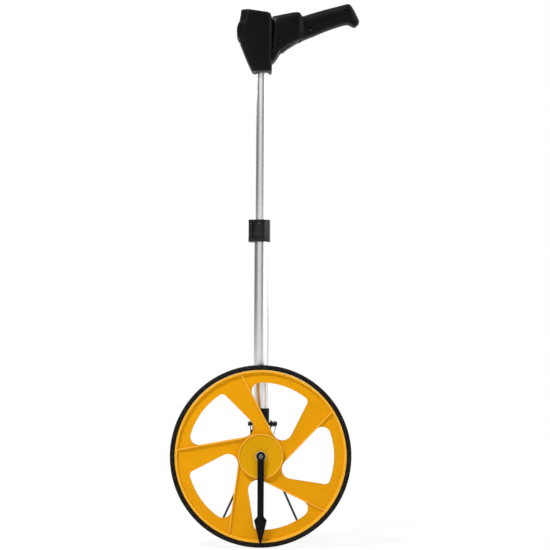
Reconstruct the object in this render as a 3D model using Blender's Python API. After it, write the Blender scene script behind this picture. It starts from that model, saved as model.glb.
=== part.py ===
"""A digital distance-measuring wheel: a wheel one metre round, a telescopic mast and a pistol grip.

Sizes below are in millimetres and become metres where a mesh is made. +Z is up, +X points to the
grip, +Y points from the pointer's side to the mast's side. The origin is on the ground under the axle.
"""

import math

import bmesh
import bpy
import numpy as np
from mathutils import Matrix, Vector

MM = 0.001

# Driving dimensions
CIRCUMFERENCE = 1000.0
WHEEL_R = CIRCUMFERENCE / (2 * math.pi)
AXLE_Z = WHEEL_R
TYRE_HALF = 8.0
TYRE_SEAT_R = 150.3
FLANGE_INNER_R = 146.2
FLANGE_HALF = 7.6
GAP = 0.3

SPOKES = 5
RIB_ANGLE = 46.1
RIB_OFFSET = 35.9
RIB_WIDTH = 2.6
SPOKE_TAPER = 54.7
SPOKE_EDGE = 31.3
WINDOW_R = 128.5
WINDOW_CORNERS = (15.0, 8.5, 17.5)
WEB_FRONT, WEB_BACK = -4.6, -1.2
HUB_COVER_R = 39.5

AXLE_R = 4.0
SPIGOT_R = 3.0
POINTER_LENGTH = 152.5

MAST_Y = 36.0
LOWER_R, LOWER_WALL = 13.0, 1.2
UPPER_R, UPPER_WALL = 11.25, 1.2
LOWER_BOTTOM, LOWER_TOP = 204.4, 566.0
UPPER_BOTTOM, UPPER_TOP = 519.0, 880.0

SOCKET_R = 15.0
SOCKET_BOTTOM, SOCKET_TOP = 198.0, 241.0
ARM_FRONT, ARM_BACK = 14.5, 22.5

PIN_Y, PIN_Z, PIN_R = 58.0, 212.0, 3.0
STAND_TILT = math.radians(23.5)
LEG_R = 2.1
LEG_LENGTH = 224.0
LEG_SPREAD = 79.0
LEG_BEND = (3.1, -38.4)
YOKE_INNER, YOKE_OUTER = 16.9, 18.7

CLAMP_BOTTOM, CLAMP_TOP = 538.2, 578.0
CLAMP_R = 15.3
LEVER_BOTTOM, LEVER_TOP = 548.3, 570.8
LEVER_PIVOT = (-19.6, 30.0)

HEAD_WALL = 2.5
HEAD_TOP_LEFT, HEAD_TOP_RIGHT = (-39.8, 955.7), (13.2, 948.4)
HEAD_HALF_DEPTH = 32.0
BEZEL_HEIGHT = 8.0
NECK_BOTTOM = 845.8
NECK_SCREW = (-19.5, 866.0)
NECK_SCREW_TIP = 17.0
HANDLE_BOLT_ZS = (896.0, 930.0)

GRIP_WALL = 2.6
GRIP_START = 16.8
GRIP_SCREWS = ((30.5, 900.0), (86.0, 922.0), (150.0, 955.0))
TRIGGER_PIVOT = (61.0, 906.0)
TRIGGER_HALF = 6.8
BUTTON_XS = (33.0, 43.0, 53.0)
BUTTON_R = 3.6

ROUND = 36


def clear_scene():
    """Takes every object out of the open file."""
    for thing in list(bpy.data.objects):
        bpy.data.objects.remove(thing, do_unlink=True)


def finish(name, colour, roughness, metallic=0.0, alpha=1.0):
    """One Principled material."""
    material = bpy.data.materials.get(name) or bpy.data.materials.new(name)
    material.use_nodes = True
    shader = material.node_tree.nodes["Principled BSDF"]
    shader.inputs["Base Color"].default_value = (*colour, 1.0)
    shader.inputs["Roughness"].default_value = roughness
    shader.inputs["Metallic"].default_value = metallic
    shader.inputs["Alpha"].default_value = alpha
    material.diffuse_color = (*colour, alpha)
    return material


YELLOW = finish("yellow_plastic", (0.80, 0.36, 0.012), 0.42)
COVER_YELLOW = finish("cover_yellow_plastic", (0.66, 0.33, 0.006), 0.45)
TYRE_RUBBER = finish("tyre_rubber", (0.030, 0.028, 0.027), 0.85)
BLACK = finish("black_plastic", (0.016, 0.016, 0.017), 0.45)
SOFT_BLACK = finish("soft_black_rubber", (0.022, 0.022, 0.022), 0.75)
BLACK_STEEL = finish("black_coated_steel", (0.020, 0.020, 0.022), 0.40, 0.6)
ALUMINIUM = finish("drawn_aluminium", (0.72, 0.72, 0.73), 0.30, 1.0)
STEEL = finish("zinc_plated_steel", (0.55, 0.55, 0.56), 0.32, 1.0)
NYLON = finish("white_nylon", (0.78, 0.76, 0.70), 0.50)
MAGNET = finish("ferrite_magnet", (0.060, 0.058, 0.056), 0.60)
CLEAR = finish("clear_window", (0.80, 0.86, 0.88), 0.05, 0.0, 0.35)
LCD = finish("lcd_glass", (0.33, 0.38, 0.30), 0.20)
BOARD = finish("green_circuit_board", (0.02, 0.16, 0.05), 0.50)
CELL = finish("cell_jacket", (0.10, 0.20, 0.34), 0.35)
BRASS = finish("nickel_brass", (0.62, 0.55, 0.36), 0.35, 1.0)
CABLE = finish("cable_jacket", (0.018, 0.018, 0.018), 0.60)


def put_in_scene(name, mesh, material):
    """An object in the scene that shows the mesh with one material."""
    thing = bpy.data.objects.new(name, mesh)
    bpy.context.scene.collection.objects.link(thing)
    if material is not None:
        mesh.materials.append(material)
    return thing


def mesh_from(points, faces):
    """A mesh from points in millimetres, its doubles merged and its faces turned outwards."""
    mesh = bpy.data.meshes.new("mesh")
    mesh.from_pydata([tuple(float(v) * MM for v in point) for point in points], [], faces)
    work = bmesh.new()
    work.from_mesh(mesh)
    bmesh.ops.remove_doubles(work, verts=work.verts, dist=1e-7)
    bmesh.ops.recalc_face_normals(work, faces=work.faces)
    work.to_mesh(mesh)
    work.free()
    return mesh


def loft_mesh(rings):
    """Equal rings of points joined in order, with a flat cap at each end."""
    count = len(rings[0])
    points = [point for ring in rings for point in ring]
    faces = []
    for level in range(len(rings) - 1):
        for i in range(count):
            j = (i + 1) % count
            low, high = level * count, (level + 1) * count
            faces.append((low + i, low + j, high + j, high + i))
    faces.append(tuple(range(count)))
    faces.append(tuple((len(rings) - 1) * count + i for i in range(count)))
    return mesh_from(points, faces)


def axis_point(axis, centre, radius, angle, along):
    """A point at a radius and an angle round one of the three axes; along is a coordinate on that axis."""
    a, b = radius * math.cos(angle), radius * math.sin(angle)
    if axis == "X":
        return (along, centre[0] + a, centre[1] + b)
    if axis == "Y":
        return (centre[0] + a, along, centre[1] + b)
    return (centre[0] + a, centre[1] + b, along)


def turned_mesh(profile, axis="Z", centre=(0.0, 0.0), steps=ROUND, start=0.0):
    """A closed profile of (radius, along) points carried once round an axis."""
    count = len(profile)
    points = [
        axis_point(axis, centre, radius, start + 2 * math.pi * k / steps, along)
        for k in range(steps)
        for radius, along in profile
    ]
    faces = []
    for k in range(steps):
        after = (k + 1) % steps
        for i in range(count):
            j = (i + 1) % count
            corners = (k * count + i, k * count + j, after * count + j, after * count + i)
            if profile[i][0] == 0.0 and profile[j][0] == 0.0:
                continue
            if profile[i][0] == 0.0:
                corners = (corners[0], corners[1], corners[2])
            elif profile[j][0] == 0.0:
                corners = (corners[0], corners[1], corners[3])
            faces.append(corners)
    return mesh_from(points, faces)


def turned(name, profile, material, axis="Z", centre=(0.0, 0.0), steps=ROUND, start=0.0):
    """A turned piece, shaded smooth except at its sharp edges."""
    mesh = turned_mesh(profile, axis, centre, steps, start)
    mesh.shade_smooth()
    mesh.set_sharp_from_angle(angle=math.radians(35))
    return put_in_scene(name, mesh, material)


def rod_profile(radius, low, high):
    """The half outline of a solid rod."""
    return [(0.0, low), (radius, low), (radius, high), (0.0, high)]


def ring_profile(inner, outer, low, high):
    """The outline of a ring's wall."""
    return [(inner, low), (outer, low), (outer, high), (inner, high)]


def prism_mesh(outline, axis, low, high):
    """A flat outline pushed along an axis: (y, z) for X, (x, z) for Y and (x, y) for Z."""
    place = {
        "X": lambda a, b, along: (along, a, b),
        "Y": lambda a, b, along: (a, along, b),
        "Z": lambda a, b, along: (a, b, along),
    }[axis]
    return loft_mesh([[place(a, b, along) for a, b in outline] for along in (low, high)])


def prism(name, outline, axis, low, high, material):
    """A piece made of one pushed outline."""
    return put_in_scene(name, prism_mesh(outline, axis, low, high), material)


def block(name, low, high, material=None):
    """A box between two corners."""
    outline = [(low[0], low[1]), (high[0], low[1]), (high[0], high[1]), (low[0], high[1])]
    return prism(name, outline, "Z", low[2], high[2], material)


def tool(thing):
    """Marks an object as a cutter, which isn't part of the wheel."""
    thing.hide_render = True
    thing.display_type = "WIRE"
    return thing


def combine(target, operation, *others, solver="EXACT"):
    """Live Boolean modifiers on the target, one for each other object."""
    for other in others:
        tool(other)
        modifier = target.modifiers.new(other.name, "BOOLEAN")
        modifier.operation = operation
        modifier.object = other
        modifier.solver = solver
    return target


def rounding(thing, width, segments=2, angle=40.0):
    """A live Bevel on the edges sharper than an angle."""
    modifier = thing.modifiers.new("rounding", "BEVEL")
    modifier.width = width * MM
    modifier.segments = segments
    modifier.limit_method = "ANGLE"
    modifier.angle_limit = math.radians(angle)
    return thing


def arc(centre, radius, start, end, steps):
    """Points along an arc, angles in degrees."""
    angles = np.radians(np.linspace(start, end, steps))
    return [(centre[0] + radius * math.cos(a), centre[1] + radius * math.sin(a)) for a in angles]


def hole(name, axis, centre, radius, low, high, steps=24):
    """A round cutter along an axis."""
    return put_in_scene(name, turned_mesh(rod_profile(radius, low, high), axis, centre, steps), None)


def tube_along(name, points, radius, material, resolution=2):
    """A round rod or cord through points in millimetres."""
    curve = bpy.data.curves.new(name, "CURVE")
    curve.dimensions = "3D"
    curve.bevel_depth = radius * MM
    curve.bevel_resolution = resolution
    curve.use_fill_caps = True
    spline = curve.splines.new("POLY")
    spline.points.add(len(points) - 1)
    for slot, point in zip(spline.points, points):
        slot.co = (*(float(v) * MM for v in point), 1.0)
    curve.materials.append(material)
    thing = bpy.data.objects.new(name, curve)
    bpy.context.scene.collection.objects.link(thing)
    return thing


def direction(degrees):
    """The unit vector at an angle in the wheel's plane, and the one to its right."""
    a = math.radians(degrees)
    return np.array((math.cos(a), math.sin(a))), np.array((math.sin(a), -math.cos(a)))


def between(start, end, steps, centre, radius):
    """Points on a circle from one angle to the next, the short way round."""
    turn = (end - start + math.pi) % (2 * math.pi) - math.pi
    angles = start + np.linspace(0.0, 1.0, steps) * turn
    return [(centre[0] + radius * math.cos(a), centre[1] + radius * math.sin(a)) for a in angles]


def angle_of(vector):
    return math.atan2(vector[1], vector[0])


def window_outline(turn):
    """One window between two spokes: two straight edges and an outer arc, with three round corners."""
    first_offset, second_offset = RIB_OFFSET + RIB_WIDTH / 2, SPOKE_EDGE
    outer_first, outer_second, inner = WINDOW_CORNERS
    d1, n1 = direction(RIB_ANGLE + turn)
    d2, n2 = direction(RIB_ANGLE + turn - SPOKE_TAPER)
    c1 = n1 * (first_offset + outer_first)
    c1 = c1 + d1 * math.sqrt((WINDOW_R - outer_first) ** 2 - (first_offset + outer_first) ** 2)
    c2 = n2 * (second_offset - outer_second)
    c2 = c2 + d2 * math.sqrt((WINDOW_R - outer_second) ** 2 - (second_offset - outer_second) ** 2)
    c3 = np.linalg.solve(np.array((n1, n2)), np.array((first_offset + inner, second_offset - inner)))
    middle = np.array((0.0, AXLE_Z))
    outline = between(angle_of(-n1), angle_of(c1), 7, c1, outer_first)
    outline += between(angle_of(c1), angle_of(c2), 12, (0.0, 0.0), WINDOW_R)[1:-1]
    outline += between(angle_of(c2), angle_of(n2), 5, c2, outer_second)
    outline += between(angle_of(n2), angle_of(-n1), 8, c3, inner)
    return [tuple(np.array(point) + middle) for point in outline]


def rib_outline(turn, start):
    """One straight rib, tangent to the hub, as a thin rectangle in the wheel's plane."""
    along, side = direction(RIB_ANGLE + turn)
    end = math.sqrt((FLANGE_INNER_R + 1.0) ** 2 - (RIB_OFFSET + RIB_WIDTH / 2) ** 2)
    low, high = RIB_OFFSET - RIB_WIDTH / 2, RIB_OFFSET + RIB_WIDTH / 2
    corners = ((start, low), (end, low), (end, high), (start, high))
    return [tuple(along * t + side * s + np.array((0.0, AXLE_Z))) for t, s in corners]


def join_meshes(meshes):
    """Several meshes as one, each still a body of its own."""
    work = bmesh.new()
    for mesh in meshes:
        work.from_mesh(mesh)
    joined = bpy.data.meshes.new("joined")
    work.to_mesh(joined)
    work.free()
    return joined


def wheel_pieces():
    """Everything that turns with the tyre."""
    hub = (0.0, AXLE_Z)
    profile = [
        (6.5, -6.0), (12.0, -6.0), (12.0, WEB_FRONT), (FLANGE_INNER_R, WEB_FRONT),
        (FLANGE_INNER_R, -FLANGE_HALF), (TYRE_SEAT_R, -FLANGE_HALF), (TYRE_SEAT_R, FLANGE_HALF),
        (FLANGE_INNER_R, FLANGE_HALF), (FLANGE_INNER_R, WEB_BACK), (36.0, WEB_BACK), (36.0, 9.0),
        (33.0, 9.0), (33.0, WEB_BACK), (12.0, WEB_BACK), (12.0, 11.6), (6.5, 11.6),
    ]
    centre = turned("wheel_centre", profile, YELLOW, "Y", hub, 64)
    turns = [k * 360.0 / SPOKES for k in range(SPOKES)]
    windows = join_meshes([prism_mesh(window_outline(turn), "Y", -12.0, 8.5) for turn in turns])
    clear_of_cover = math.sqrt((HUB_COVER_R + 0.6) ** 2 - (RIB_OFFSET - RIB_WIDTH / 2) ** 2)
    front = [prism_mesh(rib_outline(turn, clear_of_cover), "Y", -7.0, WEB_FRONT + 0.3) for turn in turns]
    back = [prism_mesh(rib_outline(turn, 4.0), "Y", WEB_BACK - 0.3, 5.0) for turn in turns]
    combine(centre, "DIFFERENCE", put_in_scene("window_cutters", windows, None))
    combine(centre, "UNION", put_in_scene("rib_bars", join_meshes(front + back), None))

    steps = 72
    outward = 1.0 / math.cos(math.pi / steps)
    half = TYRE_HALF
    section = [
        (TYRE_SEAT_R + GAP, -6.8), (TYRE_SEAT_R + GAP, 6.8), (153.0, half), (157.2, half), (WHEEL_R, 5.6),
        (WHEEL_R, -5.6), (157.2, -half), (153.0, -half),
    ]
    section = [(radius * outward, along) for radius, along in section]
    turned("tyre", section, TYRE_RUBBER, "Y", hub, steps, -math.pi / 2 + math.pi / steps)

    cover = [
        (9.2, -8.0), (36.9, -8.0), (37.5, -9.4), (38.9, -9.4), (HUB_COVER_R, -8.8), (HUB_COVER_R, -5.0),
        (37.5, -5.0), (37.5, -6.4), (9.2, -6.4),
    ]
    turned("hub_cover", cover, COVER_YELLOW, "Y", hub, 40)
    front_bush = [(4.3, -7.4), (8.8, -7.4), (8.8, -6.3), (6.2, -6.3), (6.2, 1.5), (4.3, 1.5)]
    rear_bush = [(4.3, 4.0), (6.2, 4.0), (6.2, 11.9), (8.8, 11.9), (8.8, 13.0), (4.3, 13.0)]
    turned("front_bush", front_bush, NYLON, "Y", hub, 20)
    turned("rear_bush", rear_bush, NYLON, "Y", hub, 20)
    turned("magnet_ring", ring_profile(20.0, 29.0, WEB_BACK + 0.4, 6.0), MAGNET, "Y", hub, 24)


def axle_pieces():
    """The fixed axle, and the pointer that hangs on its front spigot."""
    hub = (0.0, AXLE_Z)
    axle = [
        (0.0, -9.0), (1.6, -9.0), (1.6, -15.4), (SPIGOT_R, -15.4), (SPIGOT_R, -9.6), (AXLE_R, -9.6),
        (AXLE_R, 13.3), (6.2, 13.3), (6.2, 14.2), (AXLE_R, 14.2), (AXLE_R, 34.0), (0.0, 34.0),
    ]
    turned("axle", axle, STEEL, "Y", hub, 20)
    turned("pointer_washer", ring_profile(SPIGOT_R + GAP, 9.5, -11.0, -9.9), NYLON, "Y", hub, 28)
    screw = [
        (0.0, -17.3), (1.8, -17.2), (3.6, -16.7), (4.25, -15.9), (4.25, -15.7), (1.3, -15.7), (1.3, -9.6),
        (0.0, -9.6),
    ]
    turned("axle_end_screw", screw, STEEL, "Y", hub, 16)
    hexagon = [axis_point("Y", hub, 7.5, math.pi / 3 * k, 0.0)[::2] for k in range(6)]
    nut = prism("axle_nut", hexagon, "Y", 26.6, 33.0, STEEL)
    combine(nut, "DIFFERENCE", hole("axle_nut_bore", "Y", hub, AXLE_R + GAP, 20.0, 40.0))
    turned("axle_washer", ring_profile(AXLE_R + GAP, 8.5, 24.8, 26.2), STEEL, "Y", hub, 24)

    shaft = 5.7
    tip = -POINTER_LENGTH
    half = [(shaft, -103.7), (11.2, -110.5), (3.2, -143.5), (1.3, tip + 1.0), (0.5, tip)]
    outline = half + [(-x, z) for x, z in reversed(half)] + [(-shaft, 0.0), (shaft, 0.0)]
    pointer = prism("pointer", [(x, z + AXLE_Z) for x, z in outline], "Y", -14.4, -12.0, BLACK)
    boss = turned_mesh(rod_profile(7.9, -15.0, -11.3), "Y", hub, 28)
    combine(pointer, "UNION", put_in_scene("pointer_boss", boss, None))
    combine(pointer, "DIFFERENCE", hole("pointer_bore", "Y", hub, SPIGOT_R + GAP, -20.0, -5.0))


def bracket_pieces():
    """The bracket that joins the mast to the axle and carries the stand and the sensor."""
    mast = (0.0, MAST_Y)
    hub = (0.0, AXLE_Z)
    bracket = turned("fork_bracket", rod_profile(SOCKET_R, SOCKET_BOTTOM, SOCKET_TOP), BLACK, "Z", mast, 32)
    arm = arc(hub, 13.0, 180.0, 360.0, 13) + [(12.0, 200.0), (9.0, 226.0), (-9.0, 226.0), (-12.0, 200.0)]
    lug = arc((PIN_Y, PIN_Z), 8.0, -90.0, 90.0, 9) + [(44.0, PIN_Z + 8.0), (44.0, PIN_Z - 8.0)]
    combine(
        bracket, "UNION",
        prism("bracket_arm", arm, "Y", ARM_FRONT, ARM_BACK, None),
        hole("bracket_boss", "Y", hub, 12.0, 16.0, 24.5, 28),
        prism("bracket_lug", lug, "X", -13.5, 13.5, None),
    )
    combine(
        bracket, "DIFFERENCE",
        hole("socket_bore", "Z", mast, LOWER_R + GAP, LOWER_BOTTOM - GAP, 250.0, 32),
        hole("cable_hole", "Z", mast, 3.0, 190.0, 210.0, 16),
        hole("axle_bore", "Y", hub, AXLE_R + GAP, 10.0, 30.0),
        hole("stand_pin_bore", "X", (PIN_Y, PIN_Z), PIN_R + GAP, -20.0, 20.0),
        hole("sensor_hole", "Y", (0.0, 184.0), 3.3, 10.0, 30.0, 16),
        hole("screw_hole", "X", (MAST_Y, 232.0), 2.1, -20.0, -8.0, 12),
        solver="MANIFOLD",
    )
    screw = [
        (0.0, -17.9), (2.4, -17.7), (3.4, -16.8), (3.4, -15.4), (1.8, -15.4), (1.8, -10.6), (0.0, -10.6),
    ]
    turned("socket_screw", screw, STEEL, "X", (MAST_Y, 232.0), 12)
    sensor = block("sensor_housing", (-7.0, 7.0, 178.0), (7.0, ARM_FRONT - GAP, 189.0), BLACK)
    rounding(sensor, 0.8, 1)
    combine(sensor, "UNION", hole("sensor_spigot", "Y", (0.0, 184.0), 3.0, 12.0, 24.2, 16))
    lead = [(24.5, 184.0), (27.0, 184.1), (29.8, 185.0), (32.4, 186.9), (34.6, 189.8), (35.8, 193.4)]
    lead += [(MAST_Y, z) for z in (197.5, 204.0, 214.0, 225.0, 236.0, 245.7)]
    tube_along("sensor_lead", [(0.0, y, z) for y, z in lead], 1.6, CABLE)


def stand_pieces():
    """The two-legged stand, modelled straight down from its pin and tilted back to its open stop."""
    pivot = bpy.data.objects.new("stand_pivot", None)
    bpy.context.scene.collection.objects.link(pivot)
    pivot.location = Vector((0.0, PIN_Y, PIN_Z)) * MM
    pivot.rotation_euler = (STAND_TILT, 0.0, 0.0)
    centre = (PIN_Y, PIN_Z)
    pin = [
        (0.0, -22.9), (3.4, -22.9), (4.0, -22.3), (4.0, -19.2), (PIN_R, -19.2), (PIN_R, 28.4), (4.2, 28.4),
        (4.2, 29.4), (3.6, 29.8), (0.0, 29.8),
    ]
    turned("stand_pin", pin, BLACK_STEEL, "X", centre, 16)

    cheek = arc((0.0, 0.0), 7.0, 0.0, 180.0, 11) + [(-6.0, -46.0), (-3.0, -50.0), (6.2, -50.0), (6.2, -15.0)]
    yoke = prism("stand_yoke", cheek, "X", YOKE_INNER, YOKE_OUTER, BLACK_STEEL)
    web = block("yoke_web", (-YOKE_OUTER, 4.4, -50.0), (YOKE_OUTER, 6.2, -15.0))
    other = prism("yoke_other_cheek", cheek, "X", -YOKE_OUTER, -YOKE_INNER, None)
    boss = hole("yoke_boss", "X", (0.0, 0.0), 5.5, YOKE_OUTER - 0.5, 21.4, 28)
    combine(yoke, "UNION", web, other, boss)
    bore = hole("yoke_bore", "X", (0.0, 0.0), PIN_R + GAP, -25.0, 25.0)
    combine(yoke, "DIFFERENCE", bore)
    riders = [yoke, web, other, boss, bore]

    for name, side in (("left", -1.0), ("right", 1.0)):
        bend = [(2.6, -16.0), (2.6, -25.0), (2.6, -33.0), (2.75, -35.8), LEG_BEND]
        path = [(side * x, 1.9, z) for x, z in bend + [(LEG_SPREAD, -LEG_LENGTH)]]
        riders.append(tube_along(f"{name}_leg", path, LEG_R, BLACK_STEEL))
        riders += foot(name, side)

    riders.append(tube_along("stand_spring", torsion_spring(), 0.6, STEEL, 1))
    for rider in riders:
        rider.parent = pivot


def foot(name, side):
    """A rubber boot over a leg's end, cut flat where it stands."""
    end = Vector((side * LEG_SPREAD, 1.9, -LEG_LENGTH))
    axis = (end - Vector((side * LEG_BEND[0], 1.9, LEG_BEND[1]))).normalized()
    turn = axis.to_track_quat("Z", "Y").to_matrix().to_4x4()
    place = Matrix.Translation(end * MM) @ turn
    outside = [(0.0, 9.0), (3.2, 8.6), (5.0, 6.5), (5.0, -16.0), (4.2, -18.0), (LEG_R + GAP, -18.0)]
    inside = [(LEG_R + GAP, 0.6), (0.0, 0.6)]
    mesh = turned_mesh(outside + inside, "Z", (0.0, 0.0), 16)
    mesh.transform(place)
    boot = put_in_scene(f"{name}_foot", mesh, SOFT_BLACK)
    middle = side * LEG_SPREAD
    ground = block(f"{name}_ground", (middle - 40.0, 100.0, -40.0), (middle + 40.0, 200.0, 0.0))
    combine(boot, "DIFFERENCE", ground)
    return [boot]


def torsion_spring():
    """A coil round the pin's outer end, whose outer turn runs down to hook behind the yoke's web."""
    mean, outer, pitch, turns, per_turn = 4.9, 27.4, 1.7, 3.0, 10
    steps = int(turns * per_turn)
    angles = 2 * math.pi * np.arange(steps + 1) / per_turn
    coil = [(outer - pitch * a / (2 * math.pi), mean * math.cos(a), mean * math.sin(a)) for a in angles]
    print("stand_spring least gap", round(pitch - 2 * 0.6, 3), "mm")
    leg = [(15.8, 7.3, -26.6), (22.6, 7.3, -26.6), (23.8, 7.1, -25.4), (outer, 6.0, -9.0)]
    return leg + coil


def mast_pieces():
    """The two tubes, the cable between them and the lever clamp."""
    mast = (0.0, MAST_Y)
    lower = ring_profile(LOWER_R - LOWER_WALL, LOWER_R, LOWER_BOTTOM, LOWER_TOP)
    tube = turned("lower_tube", lower, ALUMINIUM, "Z", mast)
    combine(tube, "DIFFERENCE", hole("tube_screw_hole", "X", (MAST_Y, 232.0), 2.1, -20.0, -8.0, 16))
    upper = ring_profile(UPPER_R - UPPER_WALL, UPPER_R, UPPER_BOTTOM, UPPER_TOP)
    turned("upper_tube", upper, ALUMINIUM, "Z", mast)
    low = UPPER_BOTTOM
    bush = [
        (7.0, low - 9.0), (11.5, low - 9.0), (11.5, low - GAP), (9.75, low - GAP), (9.75, low + 12.0),
        (7.0, low + 12.0),
    ]
    turned("guide_bush", bush, NYLON, "Z", mast, 24)
    cable_top = 868.0
    heights = np.linspace(246.0, cable_top, 12)
    tube_along("coiled_cable", [(0.0, MAST_Y, z) for z in heights], 5.5, CABLE)

    collar = turned("clamp_collar", rod_profile(CLAMP_R, CLAMP_BOTTOM, CLAMP_TOP), BLACK, "Z", mast)
    jaw = [
        (-24.0, 27.5), (-21.5, 25.0), (-8.0, 25.0), (-8.0, 47.0), (-19.0, 47.0), (-21.5, 44.5), (-21.5, 38.0),
        (-24.0, 35.0),
    ]
    step = LOWER_TOP + 0.4
    bore = [
        (0.0, 530.0), (LOWER_R + GAP, 530.0), (LOWER_R + GAP, step), (UPPER_R + GAP, step),
        (UPPER_R + GAP, 590.0), (0.0, 590.0),
    ]
    room = arc(mast, CLAMP_R + 0.45, 179.0, 262.0, 12) + [(-2.0, 10.0), (-32.0, 10.0), (-32.0, 36.3)]
    combine(collar, "UNION", prism("clamp_jaw", jaw, "Z", CLAMP_BOTTOM, CLAMP_TOP, None), solver="MANIFOLD")
    combine(
        collar, "DIFFERENCE",
        put_in_scene("collar_bore", turned_mesh(bore, "Z", mast), None),
        block("collar_slit", (-30.0, 38.6, 530.0), (-9.0, 40.1, 590.0)),
        prism("lever_room", room, "Z", LEVER_BOTTOM - 0.5, LEVER_TOP + 0.5, None),
        hole("pivot_bore", "Z", LEVER_PIVOT, 1.9, 530.0, 590.0, 12),
        solver="MANIFOLD",
    )
    turned("clamp_pin", rod_profile(1.6, CLAMP_BOTTOM + 0.6, CLAMP_TOP - 0.6), STEEL, "Z", LEVER_PIVOT, 20)
    screw = [(0.0, 47.4), (0.0, 50.0), (2.6, 49.6), (3.4, 48.6), (3.4, 47.4)]
    turned("clamp_adjuster", screw, STEEL, "Y", (-16.0, 558.0), 12)
    band = arc(mast, 19.4, 203.0, 271.5, 15) + [(0.9, 18.2), (0.9, 20.6)] + arc(mast, 16.0, 270.0, 207.0, 13)
    lever = prism("clamp_lever", band, "Z", LEVER_BOTTOM, LEVER_TOP, BLACK)
    combine(lever, "UNION", hole("lever_hub", "Z", LEVER_PIVOT, 4.2, LEVER_BOTTOM, LEVER_TOP, 28))
    combine(lever, "DIFFERENCE", hole("lever_bore", "Z", LEVER_PIVOT, 1.9, 530.0, 590.0, 20))


def head_ring(z, left, right, half, slope=0.0, inset=0.0):
    """A level section of the head: a box with wide chamfers to the left and narrow ones to the right."""
    left, right, half = left + inset, right - inset, half - inset
    wide_x, wide_y = 0.22 * (right - left) - 0.6 * inset, 0.36 * half - 0.6 * inset
    narrow = max(5.0 - 0.6 * inset, 2.0)
    corners = [
        (left, -half + wide_y), (left + wide_x, -half), (right - narrow, -half), (right, -half + narrow),
        (right, half - narrow), (right - narrow, half), (left + wide_x, half), (left, half - wide_y),
    ]
    return [(x, MAST_Y + y, z - slope * (x - HEAD_TOP_LEFT[0])) for x, y in corners]


TOP_SLOPE = (HEAD_TOP_LEFT[1] - HEAD_TOP_RIGHT[1]) / (HEAD_TOP_RIGHT[0] - HEAD_TOP_LEFT[0])
TOP_TILT = math.atan(TOP_SLOPE)
HEAD_LEVELS = [
    (NECK_BOTTOM, -18.2, 16.3, 18.0), (850.0, -20.8, 16.5, 19.4), (868.0, -28.8, 16.5, 23.0),
    (904.0, -43.4, 16.5, 29.0), (911.0, -46.6, 16.5, 30.0), (918.0, -47.4, 16.5, 31.0),
    (925.0, -46.8, 16.5, 31.5), (931.0, -45.0, 16.4, 31.8), (934.0, -42.8, 16.4, HEAD_HALF_DEPTH),
]


def head_rings(inset):
    """The head's sections from the neck to the seat of the display bezel."""
    rings = [head_ring(*level, inset=inset) for level in HEAD_LEVELS]
    seat = HEAD_TOP_LEFT[1] - BEZEL_HEIGHT - GAP
    rings.append(head_ring(seat, HEAD_TOP_LEFT[0] - 0.6, 16.0, HEAD_HALF_DEPTH, TOP_SLOPE, inset))
    return rings


def on_top(name, low, high, material=None):
    """A box in the frame of the sloping top: x along the slope, z out of the face."""
    thing = block(name, low, high, material)
    middle_x = (HEAD_TOP_LEFT[0] + HEAD_TOP_RIGHT[0]) / 2
    middle_z = (HEAD_TOP_LEFT[1] + HEAD_TOP_RIGHT[1]) / 2
    place = Matrix.Translation(Vector((middle_x, MAST_Y, middle_z)) * MM)
    thing.data.transform(place @ Matrix.Rotation(TOP_TILT, 4, "Y"))
    return thing


def handle_bolt_bores(shell):
    """Cutters for the two bolts that hold the handle to the head."""
    return [
        hole(f"{shell}_bolt_bore_{k}", "X", (MAST_Y, z), 2.3, 8.0, 24.0, 12)
        for k, z in enumerate(HANDLE_BOLT_ZS)
    ]


def head_cavity():
    """The head's hollow, with the tube's boss and the screw boss left standing in it."""
    rings = head_rings(HEAD_WALL)[1:]
    rings[0] = [(x, y, NECK_BOTTOM + 10.0) for x, y, _ in rings[0]]
    top = [(x, y, z + 10.0) for x, y, z in rings[-1]]
    cavity = put_in_scene("head_cavity", loft_mesh(rings + [top]), None)
    posts = [
        hole("tube_boss", "Z", (0.0, MAST_Y), UPPER_R + 3.0, 830.0, UPPER_TOP + 3.0, 28),
        hole("neck_screw_boss", "Y", NECK_SCREW, 3.6, 0.0, 70.0, 12),
    ]
    return combine(cavity, "DIFFERENCE", *posts)


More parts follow.
